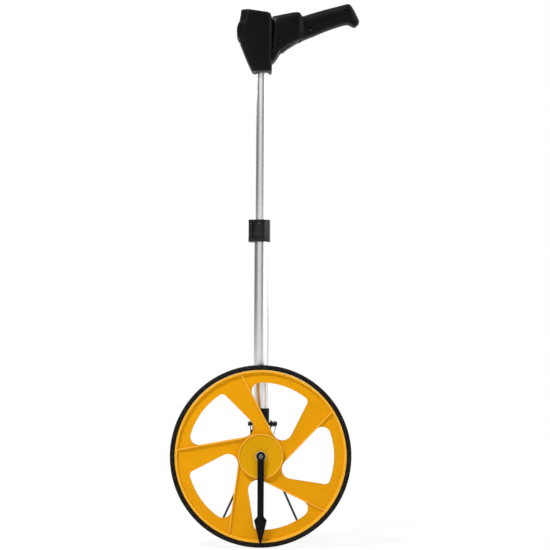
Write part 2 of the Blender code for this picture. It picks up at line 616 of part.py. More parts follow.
def head_pieces():
    """The head's two shells, its display and what they hold."""
    mast = (0.0, MAST_Y)
    cavity = head_cavity()
    tube_bore = hole("head_tube_bore", "Z", mast, UPPER_R + GAP, 830.0, UPPER_TOP + GAP, 36)
    screw_bore = hole("neck_screw_bore", "Y", NECK_SCREW, 1.7, NECK_SCREW_TIP - 0.4, 70.0, 16)
    cover_hole = slanted("cover_hole", 17.3, 17.3, -4.0, 3.0)
    bolt_bores = handle_bolt_bores("head")
    halves = (("head_front_shell", -10.0, MAST_Y - GAP / 2), ("head_rear_shell", MAST_Y + GAP / 2, 90.0))
    for name, low, high in halves:
        shell = put_in_scene(name, loft_mesh(head_rings(0.0)), BLACK)
        combine(shell, "DIFFERENCE", cavity, tube_bore, screw_bore, cover_hole, *bolt_bores)
        combine(shell, "INTERSECT", block(f"{name}_half", (-80.0, low, 800.0), (80.0, high, 990.0)))
    counterbore = hole("neck_screw_seat", "Y", NECK_SCREW, 3.2, 50.6, 70.0, 20)
    combine(bpy.data.objects["head_rear_shell"], "DIFFERENCE", counterbore)
    tip = NECK_SCREW_TIP
    screw = [(0.0, tip), (1.4, tip), (1.4, 50.9), (2.9, 50.9), (2.9, 53.0), (0.0, 53.0)]
    turned("neck_screw", screw, STEEL, "Y", NECK_SCREW, 16)

    seat = HEAD_TOP_LEFT[1]
    low_ring = head_ring(seat - BEZEL_HEIGHT, HEAD_TOP_LEFT[0] - 0.6, 15.8, HEAD_HALF_DEPTH, TOP_SLOPE)
    high_ring = head_ring(seat, HEAD_TOP_LEFT[0], HEAD_TOP_RIGHT[0], HEAD_HALF_DEPTH - 0.4, TOP_SLOPE)
    bezel = put_in_scene("display_bezel", loft_mesh([low_ring, high_ring]), BLACK)
    combine(
        bezel, "DIFFERENCE",
        on_top("bezel_opening", (-17.5, -24.5, -12.0), (19.5, 24.5, 4.0)),
        on_top("window_seat", (-19.3, -26.3, -12.0), (21.3, 26.3, -2.2)),
    )
    rounding(bezel, 0.4, 1, 50.0)
    on_top("display_window", (-19.0, -26.0, -4.2), (21.0, 26.0, -2.5), CLEAR)
    on_top("lcd_panel", (-18.0, -25.0, -7.6), (20.0, 25.0, -4.6), LCD)
    on_top("circuit_board", (-20.0, -23.0, -10.0), (21.0, 23.0, -8.4), BOARD)

    cell = [(0.0, -17.5), (5.1, -17.5), (5.1, 25.6), (1.9, 25.6), (1.9, 26.5), (0.0, 26.5)]
    for name, side in (("front_cell", -8.0), ("rear_cell", 8.0)):
        mesh = turned_mesh(cell, "X", (side, -8.8), 16)
        mesh.transform(slant_frame())
        mesh.shade_smooth()
        mesh.set_sharp_from_angle(angle=math.radians(35))
        put_in_scene(name, mesh, CELL)
    for name, along in (("lower_contact", -18.7), ("upper_contact", 26.9)):
        plate = block(name, (along, -13.6, -13.4), (along + 0.8, 13.6, -4.4), BRASS)
        plate.data.transform(slant_frame())
    cover = slanted("battery_cover", 17.0, 17.0, -2.3, -0.3)
    cover.data.materials.append(BLACK)
    combine(cover, "DIFFERENCE", slanted_hole("cover_screw_hole", 1.7))
    profile = [(0.0, -7.0), (1.3, -7.0), (1.3, 0.3), (2.6, 0.3), (2.6, 1.6), (0.0, 1.6)]
    cover_screw = turned_mesh(profile, "Z", (0.0, 0.0), 16)
    cover_screw.transform(slant_frame(12.5))
    put_in_scene("cover_screw", cover_screw, STEEL)


def slant_frame(along=0.0):
    """The frame of the head's slanting left face: x up the slope, y across, z out of the face."""
    low, high = Vector((-28.8, MAST_Y, 868.0)), Vector((-43.4, MAST_Y, 904.0))
    up = (high - low).normalized()
    across = Vector((0.0, 1.0, 0.0))
    out = up.cross(across)
    if out.x > 0.0:
        out = -out
        across = -across
    middle = (low + high) / 2 + up * along
    turn = Matrix((up, across, out)).transposed().to_4x4()
    return Matrix.Translation(middle * MM) @ turn


def slanted(name, half_length, half_width, low, high):
    """A box on the slanting face."""
    thing = block(name, (-half_length, -half_width, low), (half_length, half_width, high))
    thing.data.transform(slant_frame())
    return thing


def slanted_hole(name, radius):
    """A round cutter square to the slanting face, near the cover's upper edge."""
    mesh = turned_mesh(rod_profile(radius, -12.0, 6.0), "Z", (0.0, 0.0), 16)
    mesh.transform(slant_frame(12.5))
    return put_in_scene(name, mesh, None)


# x, top, bottom, half width and squareness of each section of the handle
GRIP_LEVELS = [
    (GRIP_START, 946.5, 862.0, 20.0, 5.0), (22.0, 947.2, 866.5, 22.4, 5.0), (26.5, 948.1, 874.0, 22.6, 5.0),
    (31.0, 949.0, 882.2, 22.6, 5.0), (36.0, 950.1, 885.4, 22.6, 5.0), (44.6, 951.9, 892.2, 22.6, 5.0),
    (54.0, 953.8, 897.4, 22.5, 5.0), (60.5, 954.4, 900.8, 22.5, 5.0), (64.5, 954.2, 902.6, 22.3, 4.8),
    (67.0, 953.5, 903.6, 21.4, 4.3), (70.0, 949.1, 904.6, 19.4, 3.5), (72.5, 948.3, 905.6, 18.1, 3.0),
    (78.0, 950.6, 907.8, 17.5, 2.8), (92.4, 955.5, 913.5, 17.2, 2.6), (110.0, 960.8, 921.2, 16.9, 2.5),
    (125.0, 964.9, 927.0, 16.9, 2.5), (139.0, 968.7, 931.8, 17.2, 2.5), (147.5, 971.0, 934.4, 17.5, 2.5),
    (153.6, 972.6, 935.2, 17.4, 2.5), (157.4, 971.4, 933.7, 16.9, 2.5), (161.0, 967.2, 931.7, 16.0, 2.5),
    (166.2, 958.7, 929.3, 13.6, 2.5), (170.6, 949.6, 932.7, 10.4, 2.4), (174.0, 943.6, 936.4, 4.5, 2.2),
]


def grip_ring(level, inset=0.0, count=18):
    """One upright section of the handle, a rounded box by the superellipse formula."""
    x, top, bottom, half_width, power = level
    middle, half_height = (top + bottom) / 2, (top - bottom) / 2 - inset
    half_width = half_width - inset
    ring = []
    for k in range(count):
        a = 2 * math.pi * (k + 0.5) / count
        c, s = math.cos(a), math.sin(a)
        y = half_width * math.copysign(abs(c) ** (2.0 / power), c)
        z = half_height * math.copysign(abs(s) ** (2.0 / power), s)
        ring.append((x, MAST_Y + y, middle + z))
    return ring


def grip_cavity():
    """The handle's hollow, with a post left standing for each screw."""
    inner = [level for level in GRIP_LEVELS if 20.0 < level[0] < 167.0]
    rings = [grip_ring(level, GRIP_WALL, 12) for level in inner]
    rings[0] = [(GRIP_START + 3.0, y, z) for _, y, z in rings[0]]
    cavity = put_in_scene("grip_cavity", loft_mesh(rings), None)
    posts = [
        hole(f"grip_post_{k}", "Y", place, 4.4, 0.0, 72.0, 12)
        for k, place in enumerate(GRIP_SCREWS)
    ]
    return combine(cavity, "DIFFERENCE", *posts, solver="MANIFOLD")


def grip_pieces():
    """The handle's two shells, its trigger, buttons and boards."""
    cavity = grip_cavity()
    bores = [
        hole(f"grip_screw_bore_{k}", "Y", place, 1.7, 0.0, 70.0, 10)
        for k, place in enumerate(GRIP_SCREWS)
    ]
    bores.append(hole("trigger_pin_bore", "Y", TRIGGER_PIVOT, 1.8, 19.0, 53.0, 12))
    slot = block("trigger_slot", (24.0, MAST_Y - 7.4, 850.0), (68.5, MAST_Y + 7.4, 911.5))
    bores += handle_bolt_bores("grip")
    bores += [
        hole(f"button_hole_{k}", "Z", (x, MAST_Y), BUTTON_R + GAP, 940.0, 962.0, 16)
        for k, x in enumerate(BUTTON_XS)
    ]
    halves = (("grip_front_shell", 0.0, MAST_Y - GAP / 2), ("grip_rear_shell", MAST_Y + GAP / 2, 80.0))
    for name, low, high in halves:
        shell = put_in_scene(name, loft_mesh([grip_ring(level) for level in GRIP_LEVELS]), BLACK)
        half = block(f"{name}_half", (0.0, low, 800.0), (200.0, high, 990.0))
        combine(shell, "DIFFERENCE", cavity, slot, *bores, solver="MANIFOLD")
        combine(shell, "INTERSECT", half, solver="MANIFOLD")
    for k, (x, z) in enumerate(GRIP_SCREWS):
        head = 14.8 if k == 0 else 20.4
        seat = hole(f"grip_screw_seat_{k}", "Y", (x, z), 3.3, -5.0, head + 2.5, 20)
        combine(bpy.data.objects["grip_front_shell"], "DIFFERENCE", seat, solver="MANIFOLD")
        screw = [(0.0, head), (2.9, head), (2.9, head + 2.1), (1.4, head + 2.1), (1.4, 50.0), (0.0, 50.0)]
        turned(f"grip_screw_{k + 1}", screw, STEEL, "Y", (x, z), 12)
    for name, z in zip(("lower_handle_bolt", "upper_handle_bolt"), HANDLE_BOLT_ZS):
        bolt = [(0.0, 9.6), (4.0, 9.6), (4.0, 12.7), (2.0, 12.7), (2.0, 27.0), (0.0, 27.0)]
        turned(name, bolt, STEEL, "X", (MAST_Y, z), 12)

    outline = [
        (31.8, 881.7), (35.8, 881.7), (39.4, 885.0), (44.6, 889.1), (52.0, 894.0), (59.0, 898.3),
        (64.0, 902.0), (65.4, 906.0), (63.6, 909.6), (60.0, 910.2), (54.0, 906.6), (47.0, 901.6),
        (40.0, 896.6), (33.6, 891.6),
    ]
    trigger = prism("trigger", outline, "Y", MAST_Y - TRIGGER_HALF, MAST_Y + TRIGGER_HALF, BLACK)
    combine(trigger, "DIFFERENCE", hole("trigger_bore", "Y", TRIGGER_PIVOT, 1.8, 0.0, 70.0, 20))
    rounding(trigger, 1.0, 1, 50.0)
    turned("trigger_pin", rod_profile(1.5, 20.0, 52.0), STEEL, "Y", TRIGGER_PIVOT, 12)
    turned("trigger_spring", ring_profile(1.6, 2.8, 902.6, 914.2), STEEL, "Z", (44.0, MAST_Y), 20)
    block("trigger_switch", (37.0, 30.0, 914.5), (51.0, 42.0, 923.0), SOFT_BLACK)
    block("switch_board", (35.5, 18.4, 923.3), (60.0, 53.6, 924.9), BOARD)
    block("button_board", (26.5, 20.0, 940.2), (60.0, 52.0, 941.8), BOARD)
    for name, x in zip(("power_button", "hold_button", "reset_button"), BUTTON_XS):
        top = 949.5 + (x - BUTTON_XS[0]) * 0.205
        button = [
            (0.0, top + 1.6), (BUTTON_R - 1.0, top + 1.5), (BUTTON_R, top + 0.7), (BUTTON_R, top - 4.2),
            (4.9, top - 4.2), (4.9, top - 5.2), (0.0, top - 5.2),
        ]
        turned(name, button, SOFT_BLACK, "Z", (x, MAST_Y), 16)


def main():
    clear_scene()
    wheel_pieces()
    axle_pieces()
    bracket_pieces()
    stand_pieces()
    mast_pieces()
    head_pieces()
    grip_pieces()


main()
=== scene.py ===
# %% [markdown]
# # A measuring wheel, dressed for its portrait
# The CAD model gives every part its real size and place, and MuJoCo knows how each one moves.
# This lesson lays finished surfaces over that frame: rounder shapes where the CAD model is
# faceted, and materials with the grain, gloss and wear of the real thing. The wheel stands on the
# ground at the origin, +X points to the handle and the camera looks along +Y. The scene is in
# metres, and the numbers of the shapes are written in millimetres. Two places come back throughout:
# the wheel's centre in X and Z, and the mast's line in X and Y.

# %% Load the frame
import math

import bmesh
import bpy
import numpy as np
from mathutils import Matrix, Vector


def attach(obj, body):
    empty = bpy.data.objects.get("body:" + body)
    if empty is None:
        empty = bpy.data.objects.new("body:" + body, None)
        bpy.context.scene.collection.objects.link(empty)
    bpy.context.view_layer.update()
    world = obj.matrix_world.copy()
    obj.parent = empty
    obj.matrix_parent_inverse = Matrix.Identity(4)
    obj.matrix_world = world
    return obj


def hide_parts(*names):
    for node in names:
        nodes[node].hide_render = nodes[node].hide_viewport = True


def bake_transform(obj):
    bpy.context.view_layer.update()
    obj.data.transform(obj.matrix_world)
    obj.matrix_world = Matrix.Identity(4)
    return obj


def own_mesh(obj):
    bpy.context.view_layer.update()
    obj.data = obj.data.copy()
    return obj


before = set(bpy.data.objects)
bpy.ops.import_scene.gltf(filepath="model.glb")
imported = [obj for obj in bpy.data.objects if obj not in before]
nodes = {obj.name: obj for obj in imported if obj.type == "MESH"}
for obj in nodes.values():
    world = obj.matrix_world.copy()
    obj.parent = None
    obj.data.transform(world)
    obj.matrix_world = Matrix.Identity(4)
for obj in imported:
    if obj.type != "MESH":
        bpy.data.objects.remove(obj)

MM = 0.001
WHEEL_R = 159.155
HUB = (0.0, WHEEL_R)
MAST = (0.0, 36.0)
scene = bpy.context.scene
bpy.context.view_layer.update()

# %% [markdown]
# ## The camera
# The picture was taken from low down and about two metres away: the tyre is seen square on, and
# the head shows a little of its underside. A long lens at that distance gives the same slight
# perspective. The place, the tilt and the quarter degree of roll came from matching the tyre's
# outline, the clamp and the head's corners.

# %% Camera
CAMERA_PLACE = (-20.1, -2200.0, 339.9)
CAMERA_YAW, CAMERA_PITCH, CAMERA_ROLL = 1.136, 2.810, 0.297
camera = bpy.data.objects.new("camera", bpy.data.cameras.new("camera"))
scene.collection.objects.link(camera)
scene.camera = camera
camera.data.lens = 81.7
camera.data.shift_y = 0.03
camera.location = Vector(CAMERA_PLACE) * MM
turn = Matrix.Rotation(math.radians(-CAMERA_YAW), 3, "Z")
turn = turn @ Matrix.Rotation(math.radians(90.0 + CAMERA_PITCH), 3, "X")
turn = turn @ Matrix.Rotation(math.radians(CAMERA_ROLL), 3, "Z")
camera.rotation_euler = turn.to_euler()
scene.view_settings.view_transform = "Standard"
print("camera", [round(v, 3) for v in camera.location], "lens", camera.data.lens)

# %% [markdown]
# ## Writing a material as an expression
# A finish is a small graph of nodes. Placing the nodes one by one hides the idea, so a socket is
# wrapped in a class whose operators add the Math nodes: `0.4 + 0.1 * grain` reads as what it does.
# Any other node comes from one method, which takes the node's type, its settings and its inputs.

# %% Sockets that can be added and multiplied
class Wire:
    """A node's output that can stand in an expression on numbers."""

    def __init__(self, finish, socket):
        self.finish, self.socket = finish, socket

    def maths(self, operation, *others):
        return self.finish.node("Math", {"operation": operation}, *others)

    def __add__(self, other):
        return self.maths("ADD", self, other)

    def __radd__(self, other):
        return self.maths("ADD", other, self)

    def __sub__(self, other):
        return self.maths("SUBTRACT", self, other)

    def __rsub__(self, other):
        return self.maths("SUBTRACT", other, self)

    def __mul__(self, other):
        return self.maths("MULTIPLY", self, other)

    def __rmul__(self, other):
        return self.maths("MULTIPLY", other, self)

    def __truediv__(self, other):
        return self.maths("DIVIDE", self, other)


# %% A material made of wires
class Finish:
    """A material whose nodes are added by expressions."""

    def __init__(self, name, **constants):
        self.material = bpy.data.materials.new(name)
        self.material.use_nodes = True
        self.tree = self.material.node_tree
        self.tree.nodes.clear()
        self.output = self.tree.nodes.new("ShaderNodeOutputMaterial")
        self.shader = self.tree.nodes.new("ShaderNodeBsdfPrincipled")
        self.tree.links.new(self.shader.outputs[0], self.output.inputs[0])
        self.place = self.node("TexCoord", {}, out="Object")
        self.set(**constants)

    def feed(self, socket, value):
        if isinstance(value, Wire):
            self.tree.links.new(value.socket, socket)
        elif value is not None:
            wants_colour = socket.type == "RGBA" and len(value) == 3
            socket.default_value = (*value, 1.0) if wants_colour else value

    def node(self, kind, settings, *values, out=0, **named):
        """Any node: its settings first, then the values or wires of its sockets, None to skip one."""
        made = self.tree.nodes.new("ShaderNode" + kind)
        for key, value in settings.items():
            if key == "stops":
                ramp = made.color_ramp.elements
                ramp.remove(ramp[1])
                for k, (at, colour) in enumerate(value):
                    stop = ramp[0] if k == 0 else ramp.new(at)
                    stop.position, stop.color = at, (*colour, 1.0)
            else:
                setattr(made, key, value)
        for slot, value in enumerate(values):
            self.feed(made.inputs[slot], value)
        for name, value in named.items():
            self.feed(made.inputs[name.replace("_", " ")], value)
        return Wire(self, made.outputs[out])

    def set(self, **sockets):
        """Feeds the Principled shader: set(Base_Color=..., Roughness=...)."""
        for name, value in sockets.items():
            self.feed(self.shader.inputs[name.replace("_", " ")], value)
        return self

    def noise(self, scale, detail=3.0, stretch=(1.0, 1.0, 1.0)):
        """Fractal noise from 0 to 1, drawn out along an axis by a small stretch."""
        where = self.place
        if stretch != (1.0, 1.0, 1.0):
            where = self.node("Mapping", {}, self.place, Scale=stretch)
        return self.node("TexNoise", {}, Vector=where, Scale=scale, Detail=detail, Roughness=0.55)

    def mix(self, factor, low, high):
        """The colour low where the factor is 0, and high where it is 1."""
        return self.node("Mix", {"data_type": "RGBA"}, factor, *[None] * 5, low, high, out=2)

    def band(self, value, low, high):
        """0 below low, 1 above high and a smooth step between."""
        return self.node("MapRange", {"interpolation_type": "SMOOTHSTEP"}, value, low, high, 0.0, 1.0)

    def bump(self, height, depth_mm):
        """Makes the surface rise by depth_mm where the height is 1."""
        lift = self.node("Bump", {}, Height=height, Distance=depth_mm * MM, Strength=1.0)
        return self.set(Normal=lift)

# %% [markdown]
# ## Studio floor and light
# The picture stands on plain white with hardly a shadow. The floor is a pale surface mixed with its
# own glow: close to the wheel enough of the surface is left to take a contact shadow, and further
# out it is plain white, so that no horizon shows. Reflections see a brighter patch behind the wheel.

# %% Floor
HALF_FLOOR = 40
SHADOW_FADE, PATCH_FRONT, PATCH_EDGE = (0.15, 0.70), (0.15, 0.70), (0.8, 1.3)
corners = [(x * HALF_FLOOR, y * HALF_FLOOR, 0) for x, y in ((-1, -1), (1, -1), (1, 1), (-1, 1))]
sheet = bpy.data.meshes.new("studio_floor")
sheet.from_pydata(corners, [], [(0, 1, 2, 3)])
floor = bpy.data.objects.new("studio_floor", sheet)
scene.collection.objects.link(floor)
pale = Finish("pale_floor", Base_Color=(0.86, 0.86, 0.86), Roughness=0.9)
seen = pale.node("LightPath", {}, out="Is Camera Ray")
glossy = pale.node("LightPath", {}, out="Is Glossy Ray")
distance = pale.node("VectorMath", {"operation": "LENGTH"}, pale.place, out="Value")
backwards = pale.node("SeparateXYZ", {}, pale.place, out="Y")
behind = pale.band(backwards, *PATCH_FRONT) * (1.0 - pale.band(distance, *PATCH_EDGE))
glow = pale.node("Emission", {}, Color=(1.0, 1.0, 1.0), Strength=1.0 + 1.2 * (behind * glossy))
clean = 0.88 + 0.12 * pale.band(distance, *SHADOW_FADE)
surface = Wire(pale, pale.shader.outputs[0])
share = pale.node("MixShader", {}, clean * (1.0 - (1.0 - seen) * (1.0 - glossy)), surface, glow)
pale.tree.links.new(share.socket, pale.output.inputs[0])
floor.data.materials.append(pale.material)

# %% [markdown]
# Black plastic and bare tube show the room more than any lamp. Here the room is a function of the
# direction from the wheel, seen only in reflections: a wide panel to the front left, a dark band just
# right of the camera, a narrow and much brighter panel to the right, light overhead, and grey behind.
# The narrow panel draws the thin highlights on the tubes. The camera itself sees plain white.

# %% World
class Sky(Finish):
    """The world's nodes, written the same way as a material's."""

    def __init__(self, world):
        world.use_nodes = True
        self.tree = world.node_tree
        self.tree.nodes.clear()
        self.output = self.tree.nodes.new("ShaderNodeOutputWorld")
        self.place = self.node("TexCoord", {}, out="Generated")


ROOM_LIGHT = 0.33
OVERHEAD = 0.9
ROOM = [
    (-180, 0.45), (-110, 0.12), (-88, 0.14), (-66, 0.50), (-48, 0.85), (-22, 0.85), (-4, 0.45), (8, 0.12),
    (22, 0.12), (34, 0.80), (56, 1.20), (68, 2.60), (86, 2.60), (100, 0.90), (130, 0.45), (180, 0.45),
]
world = bpy.data.worlds.new("studio")
scene.world = world
sky = Sky(world)
seen = sky.node("LightPath", {}, out="Is Camera Ray")
through = sky.node("LightPath", {}, out="Is Transmission Ray")
mirrored = sky.node("LightPath", {}, out="Is Glossy Ray")
east = sky.node("SeparateXYZ", {}, sky.place, out="X")
north = sky.node("SeparateXYZ", {}, sky.place, out="Y")
height = sky.node("SeparateXYZ", {}, sky.place, out="Z")
bearing = 0.5 + sky.node("Math", {"operation": "ARCTAN2"}, east, 0.0 - north) / (2 * math.pi)
panels = sky.node("ValToRGB", {"stops": [((a + 180) / 360, (v, v, v)) for a, v in ROOM]}, bearing)
overhead = sky.band(height, 0.45, 0.80)
reflected = sky.node("SeparateXYZ", {}, panels, out="X") * (1.0 - overhead) + OVERHEAD * overhead
level = ROOM_LIGHT + (reflected - ROOM_LIGHT) * mirrored
level = level + (1.0 - level) * (1.0 - (1.0 - seen) * (1.0 - through))
light = sky.node("Background", {}, Color=(1.0, 1.0, 1.0), Strength=level)
sky.tree.links.new(light.socket, sky.output.inputs[0])

# %% [markdown]
# One main lamp stands high on the left, a little in front. It is steep enough for the flange to
# throw a shadow on the web and for each rib to have a lit side. Weaker lamps fill the right side
# and the back.

# %% Lamps
LAMPS = [
    ("key", (-1.35, -1.25, 3.0), (0.0, 0.0, 0.35), 0.45, 88.0),
    ("fill", (1.9, -1.6, 1.2), (0.0, 0.0, 0.45), 1.6, 10.0),
    ("rim", (-1.3, 1.5, 1.9), (0.0, 0.0, 0.6), 1.2, 18.0),
    ("rear_fill", (1.5, 1.8, 1.3), (0.0, 0.0, 0.4), 1.6, 12.0),
]


def lamp(name, place, aim, size, power):
    """A soft square area lamp in metres and watts."""
    data = bpy.data.lights.new(name, "AREA")
    data.size, data.energy = size, power
    thing = bpy.data.objects.new(name, data)
    thing.location = place
    thing.rotation_euler = (Vector(aim) - Vector(place)).to_track_quat("-Z", "Y").to_euler()
    scene.collection.objects.link(thing)


for row in LAMPS:
    lamp(*row)
print(len(LAMPS), "lamps")

# %% [markdown]
# ## Shapes from formulas
# Most parts of the wheel are turned on a lathe, pressed from plate or bent from rod. Each of these
# is one formula on a grid of two parameters, worked out as a whole array. Real mouldings have
# rounded edges that catch the light, so an outline's corners are softened before it is used.

# %% Outlines
def parabola(first, corner, last, steps):
    """For each corner C the curve (1-t)^2 A + 2t(1-t) C + t^2 B, from A before it to B after it."""
    t = np.linspace(0.0, 1.0, steps)[None, :, None]
    curve = (1 - t) ** 2 * first[:, None] + 2 * t * (1 - t) * corner[:, None] + t**2 * last[:, None]
    return curve.reshape(-1, corner.shape[1])


def soften(outline, radius, steps=5):
    """Cuts each corner of a closed outline back by a distance and puts a parabola there."""
    corner = np.asarray(outline, float)
    before, after = np.roll(corner, 1, 0) - corner, np.roll(corner, -1, 0) - corner
    long_before, long_after = np.linalg.norm(before, axis=1), np.linalg.norm(after, axis=1)
    back = np.minimum(np.broadcast_to(radius, len(corner)), 0.48 * np.minimum(long_before, long_after))
    first = corner + before / long_before[:, None] * back[:, None]
    last = corner + after / long_after[:, None] * back[:, None]
    return parabola(first, corner, last, steps)


def oblong(left, low, right, high):
    """The four corners of a rectangle, anticlockwise."""
    return [(left, low), (right, low), (right, high), (left, high)]


def arc(centre, radius, start, end, steps):
    """Points centre + radius (cos a, sin a), with a in degrees from start to end."""
    a = np.radians(np.linspace(start, end, steps))
    return np.stack([centre[0] + radius * np.cos(a), centre[1] + radius * np.sin(a)], 1)


def inset(outline, depth):
    """The outline moved inwards: each point goes depth along the mean of its two edges' normals."""
    following = np.roll(outline, -1, 0)
    ahead, behind = following - outline, outline - np.roll(outline, 1, 0)
    unit = [edge / np.maximum(np.linalg.norm(edge, axis=1), 1e-9)[:, None] for edge in (ahead, behind)]
    normal = np.stack([[-e[:, 1], e[:, 0]] for e in unit]).mean(0).T
    scale = np.maximum((normal**2).sum(1), 0.25)[:, None]
    area = 0.5 * (outline[:, 0] * following[:, 1] - outline[:, 1] * following[:, 0]).sum()
    return outline + normal / scale * depth * np.sign(area)


# %% Grids of points
AXES = {"X": (1, 2, 0), "Y": (0, 2, 1), "Z": (0, 1, 2)}


def placed(a, b, along, axis):
    """Stacks two crosswise coordinates and one along an axis as points."""
    points = np.empty(np.broadcast(a, b, along).shape + (3,))
    first, second, third = AXES[axis]
    points[..., first], points[..., second], points[..., third] = a, b, along
    return points


def lathe(profile, axis="Y", centre=HUB, steps=96):
    """Each profile point (r, h) goes to centre + r (cos a, sin a) across and h along the axis."""
    r, h = np.asarray(profile, float).T
    a = 2 * np.pi * np.arange(steps)[:, None] / steps
    return placed(centre[0] + r * np.cos(a), centre[1] + r * np.sin(a), h, axis)


def slab(outline, axis, low, high, edge=0.6, steps=4):
    """A plate between two levels: the outline drawn in by edge (1 - sin t) as it nears each face."""
    t = np.linspace(0.0, np.pi / 2, steps)
    inward, rise = edge * (1 - np.sin(t)), edge * (1 - np.cos(t))
    levels = np.concatenate([low + rise, (high - rise)[::-1]])
    insets = np.concatenate([inward, inward[::-1]])
    rows = np.stack([inset(outline, depth) for depth in insets])
    return placed(rows[..., 0], rows[..., 1], levels[:, None], axis)


def rod(path, radius, steps=16, across=(1.0, 0.0, 0.0)):
    """A circle of radius carried along a path: P + r (cos a N + sin a B), with N square to the path."""
    path = np.asarray(path, float)
    along = np.gradient(path, axis=0)
    along /= np.linalg.norm(along, axis=1)[:, None]
    first = np.asarray(across, float) - along * (along @ np.asarray(across, float))[:, None]
    first /= np.linalg.norm(first, axis=1)[:, None]
    second = np.cross(along, first)
    a = 2 * np.pi * np.arange(steps)[None, :, None] / steps
    size = np.broadcast_to(radius, len(path))[:, None, None]
    return path[:, None] + size * (np.cos(a) * first[:, None] + np.sin(a) * second[:, None])


# %% From a grid to a piece
def skin(grid, wrap_rows=False, caps=True):
    """A mesh whose quads join neighbouring points; the rows wrap round, and caps close the two ends."""
    rows, columns = grid.shape[:2]
    index = np.arange(rows * columns).reshape(rows, columns)
    index = np.hstack([index, index[:, :1]])
    if wrap_rows:
        index = np.vstack([index, index[:1]])
    quads = np.stack([index[:-1, :-1], index[1:, :-1], index[1:, 1:], index[:-1, 1:]], -1).reshape(-1, 4)
    ends = [] if wrap_rows or not caps else [index[0, :-1], index[-1, :-1][::-1]]
    loops = np.concatenate([quads.ravel(), *ends]).astype(np.int32)
    sizes = np.concatenate([np.full(len(quads), 4), [len(end) for end in ends]]).astype(np.int32)
    mesh = bpy.data.meshes.new("skin")
    mesh.vertices.add(rows * columns)
    mesh.vertices.foreach_set("co", (grid.reshape(-1) * MM).astype(np.float32))
    mesh.loops.add(len(loops))
    mesh.loops.foreach_set("vertex_index", loops)
    mesh.polygons.add(len(sizes))
    mesh.polygons.foreach_set("loop_start", (np.cumsum(sizes) - sizes).astype(np.int32))
    mesh.update(calc_edges=True)
    return mesh


def tidy(mesh, sharp=35.0):
    """Doubles merged, faces turned outwards, smooth shading broken at sharp edges."""
    work = bmesh.new()
    work.from_mesh(mesh)
    bmesh.ops.remove_doubles(work, verts=work.verts, dist=2e-6)
    bmesh.ops.recalc_face_normals(work, faces=work.faces)
    work.to_mesh(mesh)
    work.free()
    mesh.shade_smooth()
    mesh.set_sharp_from_angle(angle=math.radians(sharp))
    return mesh


def together(*meshes):
    """Several meshes as one."""
    work = bmesh.new()
    for mesh in meshes:
        work.from_mesh(mesh)
    joined = bpy.data.meshes.new("joined")
    work.to_mesh(joined)
    work.free()
    return joined


def piece(name, mesh, finish, body, *stands_for, slot=None, sharp=35.0):
    """A finished piece: tidied, given its material, and riding on its body if it has only one.

    Its slot is looked up in the table of slots, unless another one is named, and is not used further.
    """
    thing = bpy.data.objects.new(name, tidy(mesh, sharp))
    scene.collection.objects.link(thing)
    thing.data.materials.clear()
    thing.data.materials.append(finish.material)
    if body:
        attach(thing, body)
    if stands_for:
        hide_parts(*stands_for)
    slot = slot or SLOTS[finish]
    print(name, len(thing.data.polygons), "faces")
    return thing


def dress(finish, *names):
    """Gives CAD nodes that keep their own shape a finer material."""
    for name in names:
        nodes[name].data.materials.clear()
        nodes[name].data.materials.append(finish.material)

# %% [markdown]
# Some pieces have recesses: a slot, a screw seat, a window. Modelling those into a grid is fiddly,
# and a Boolean does it in one step, so the grid gives the body and plain blades are taken out.

# %% Blades
def brick(low, high):
    """A box between two corners, for cutting."""
    x, y = np.array(oblong(*low[:2], *high[:2]), float).T
    return skin(placed(x, y, np.array([[low[2]], [high[2]]], float), "Z"))


def drill(radius, axis, centre, low, high, steps=40):
    """A round blade along an axis."""
    return skin(lathe([(radius, low), (radius, high)], axis, centre, steps).transpose(1, 0, 2))


def cut(mesh, *blades):
    """The mesh without the space of the blades, by an exact Boolean."""
    things = [bpy.data.objects.new("cut", tidy(m)) for m in (mesh, *blades)]
    for thing in things:
        scene.collection.objects.link(thing)
    for blade in things[1:]:
        step = things[0].modifiers.new("cut", "BOOLEAN")
        step.operation, step.solver, step.object = "DIFFERENCE", "EXACT", blade
    graph = bpy.context.evaluated_depsgraph_get()
    done = bpy.data.meshes.new_from_object(things[0].evaluated_get(graph))
    for thing in things:
        bpy.data.objects.remove(thing)
    assert len(done.polygons) > 3, "the blades left nothing"
    return done


def turned(profile, axis, centre, soft=0.3, steps=64):
    """A turned solid: a closed profile with softened corners, carried round its axis."""
    return skin(lathe(soften(profile, soft, 4), axis, centre, steps), wrap_rows=True)


def pan_screw(face, out, radius, thick, shank, end, axis, centre):
    """A pan-head screw with a cross recess. Its head stands between face and face + out * thick."""
    top = face + out * thick
    profile = [
        (0.0, top), (0.55 * radius, top - out * 0.08), (radius, top - out * 0.45 * thick), (radius, face),
        (shank, face), (shank, end), (0.0, end),
    ]
    solid = skin(lathe(profile, axis, centre, 32), wrap_rows=True)
    deep = sorted((top + out, top - out * 0.5 * thick))
    half_long, half_wide = 0.62 * radius, 0.14 * radius
    blades = []
    for a, b in ((half_long, half_wide), (half_wide, half_long)):
        x, y = np.array(oblong(-a, -b, a, b)).T
        blades.append(skin(placed(centre[0] + x, centre[1] + y, np.array(deep)[:, None], axis)))
    return cut(solid, *blades)

# %% [markdown]
# ## Finishes
# Moulded plastic is never one flat colour: pigment drifts a little through the part, the surface
# keeps the fine grain of its tool, and gloss varies where it has been handled. Rubber is dusty and
# dull, drawn tube has a grain along its length, and zinc plate is cloudy. Each finish below mixes
# noise of a real size into its colour, its roughness and a very shallow bump.

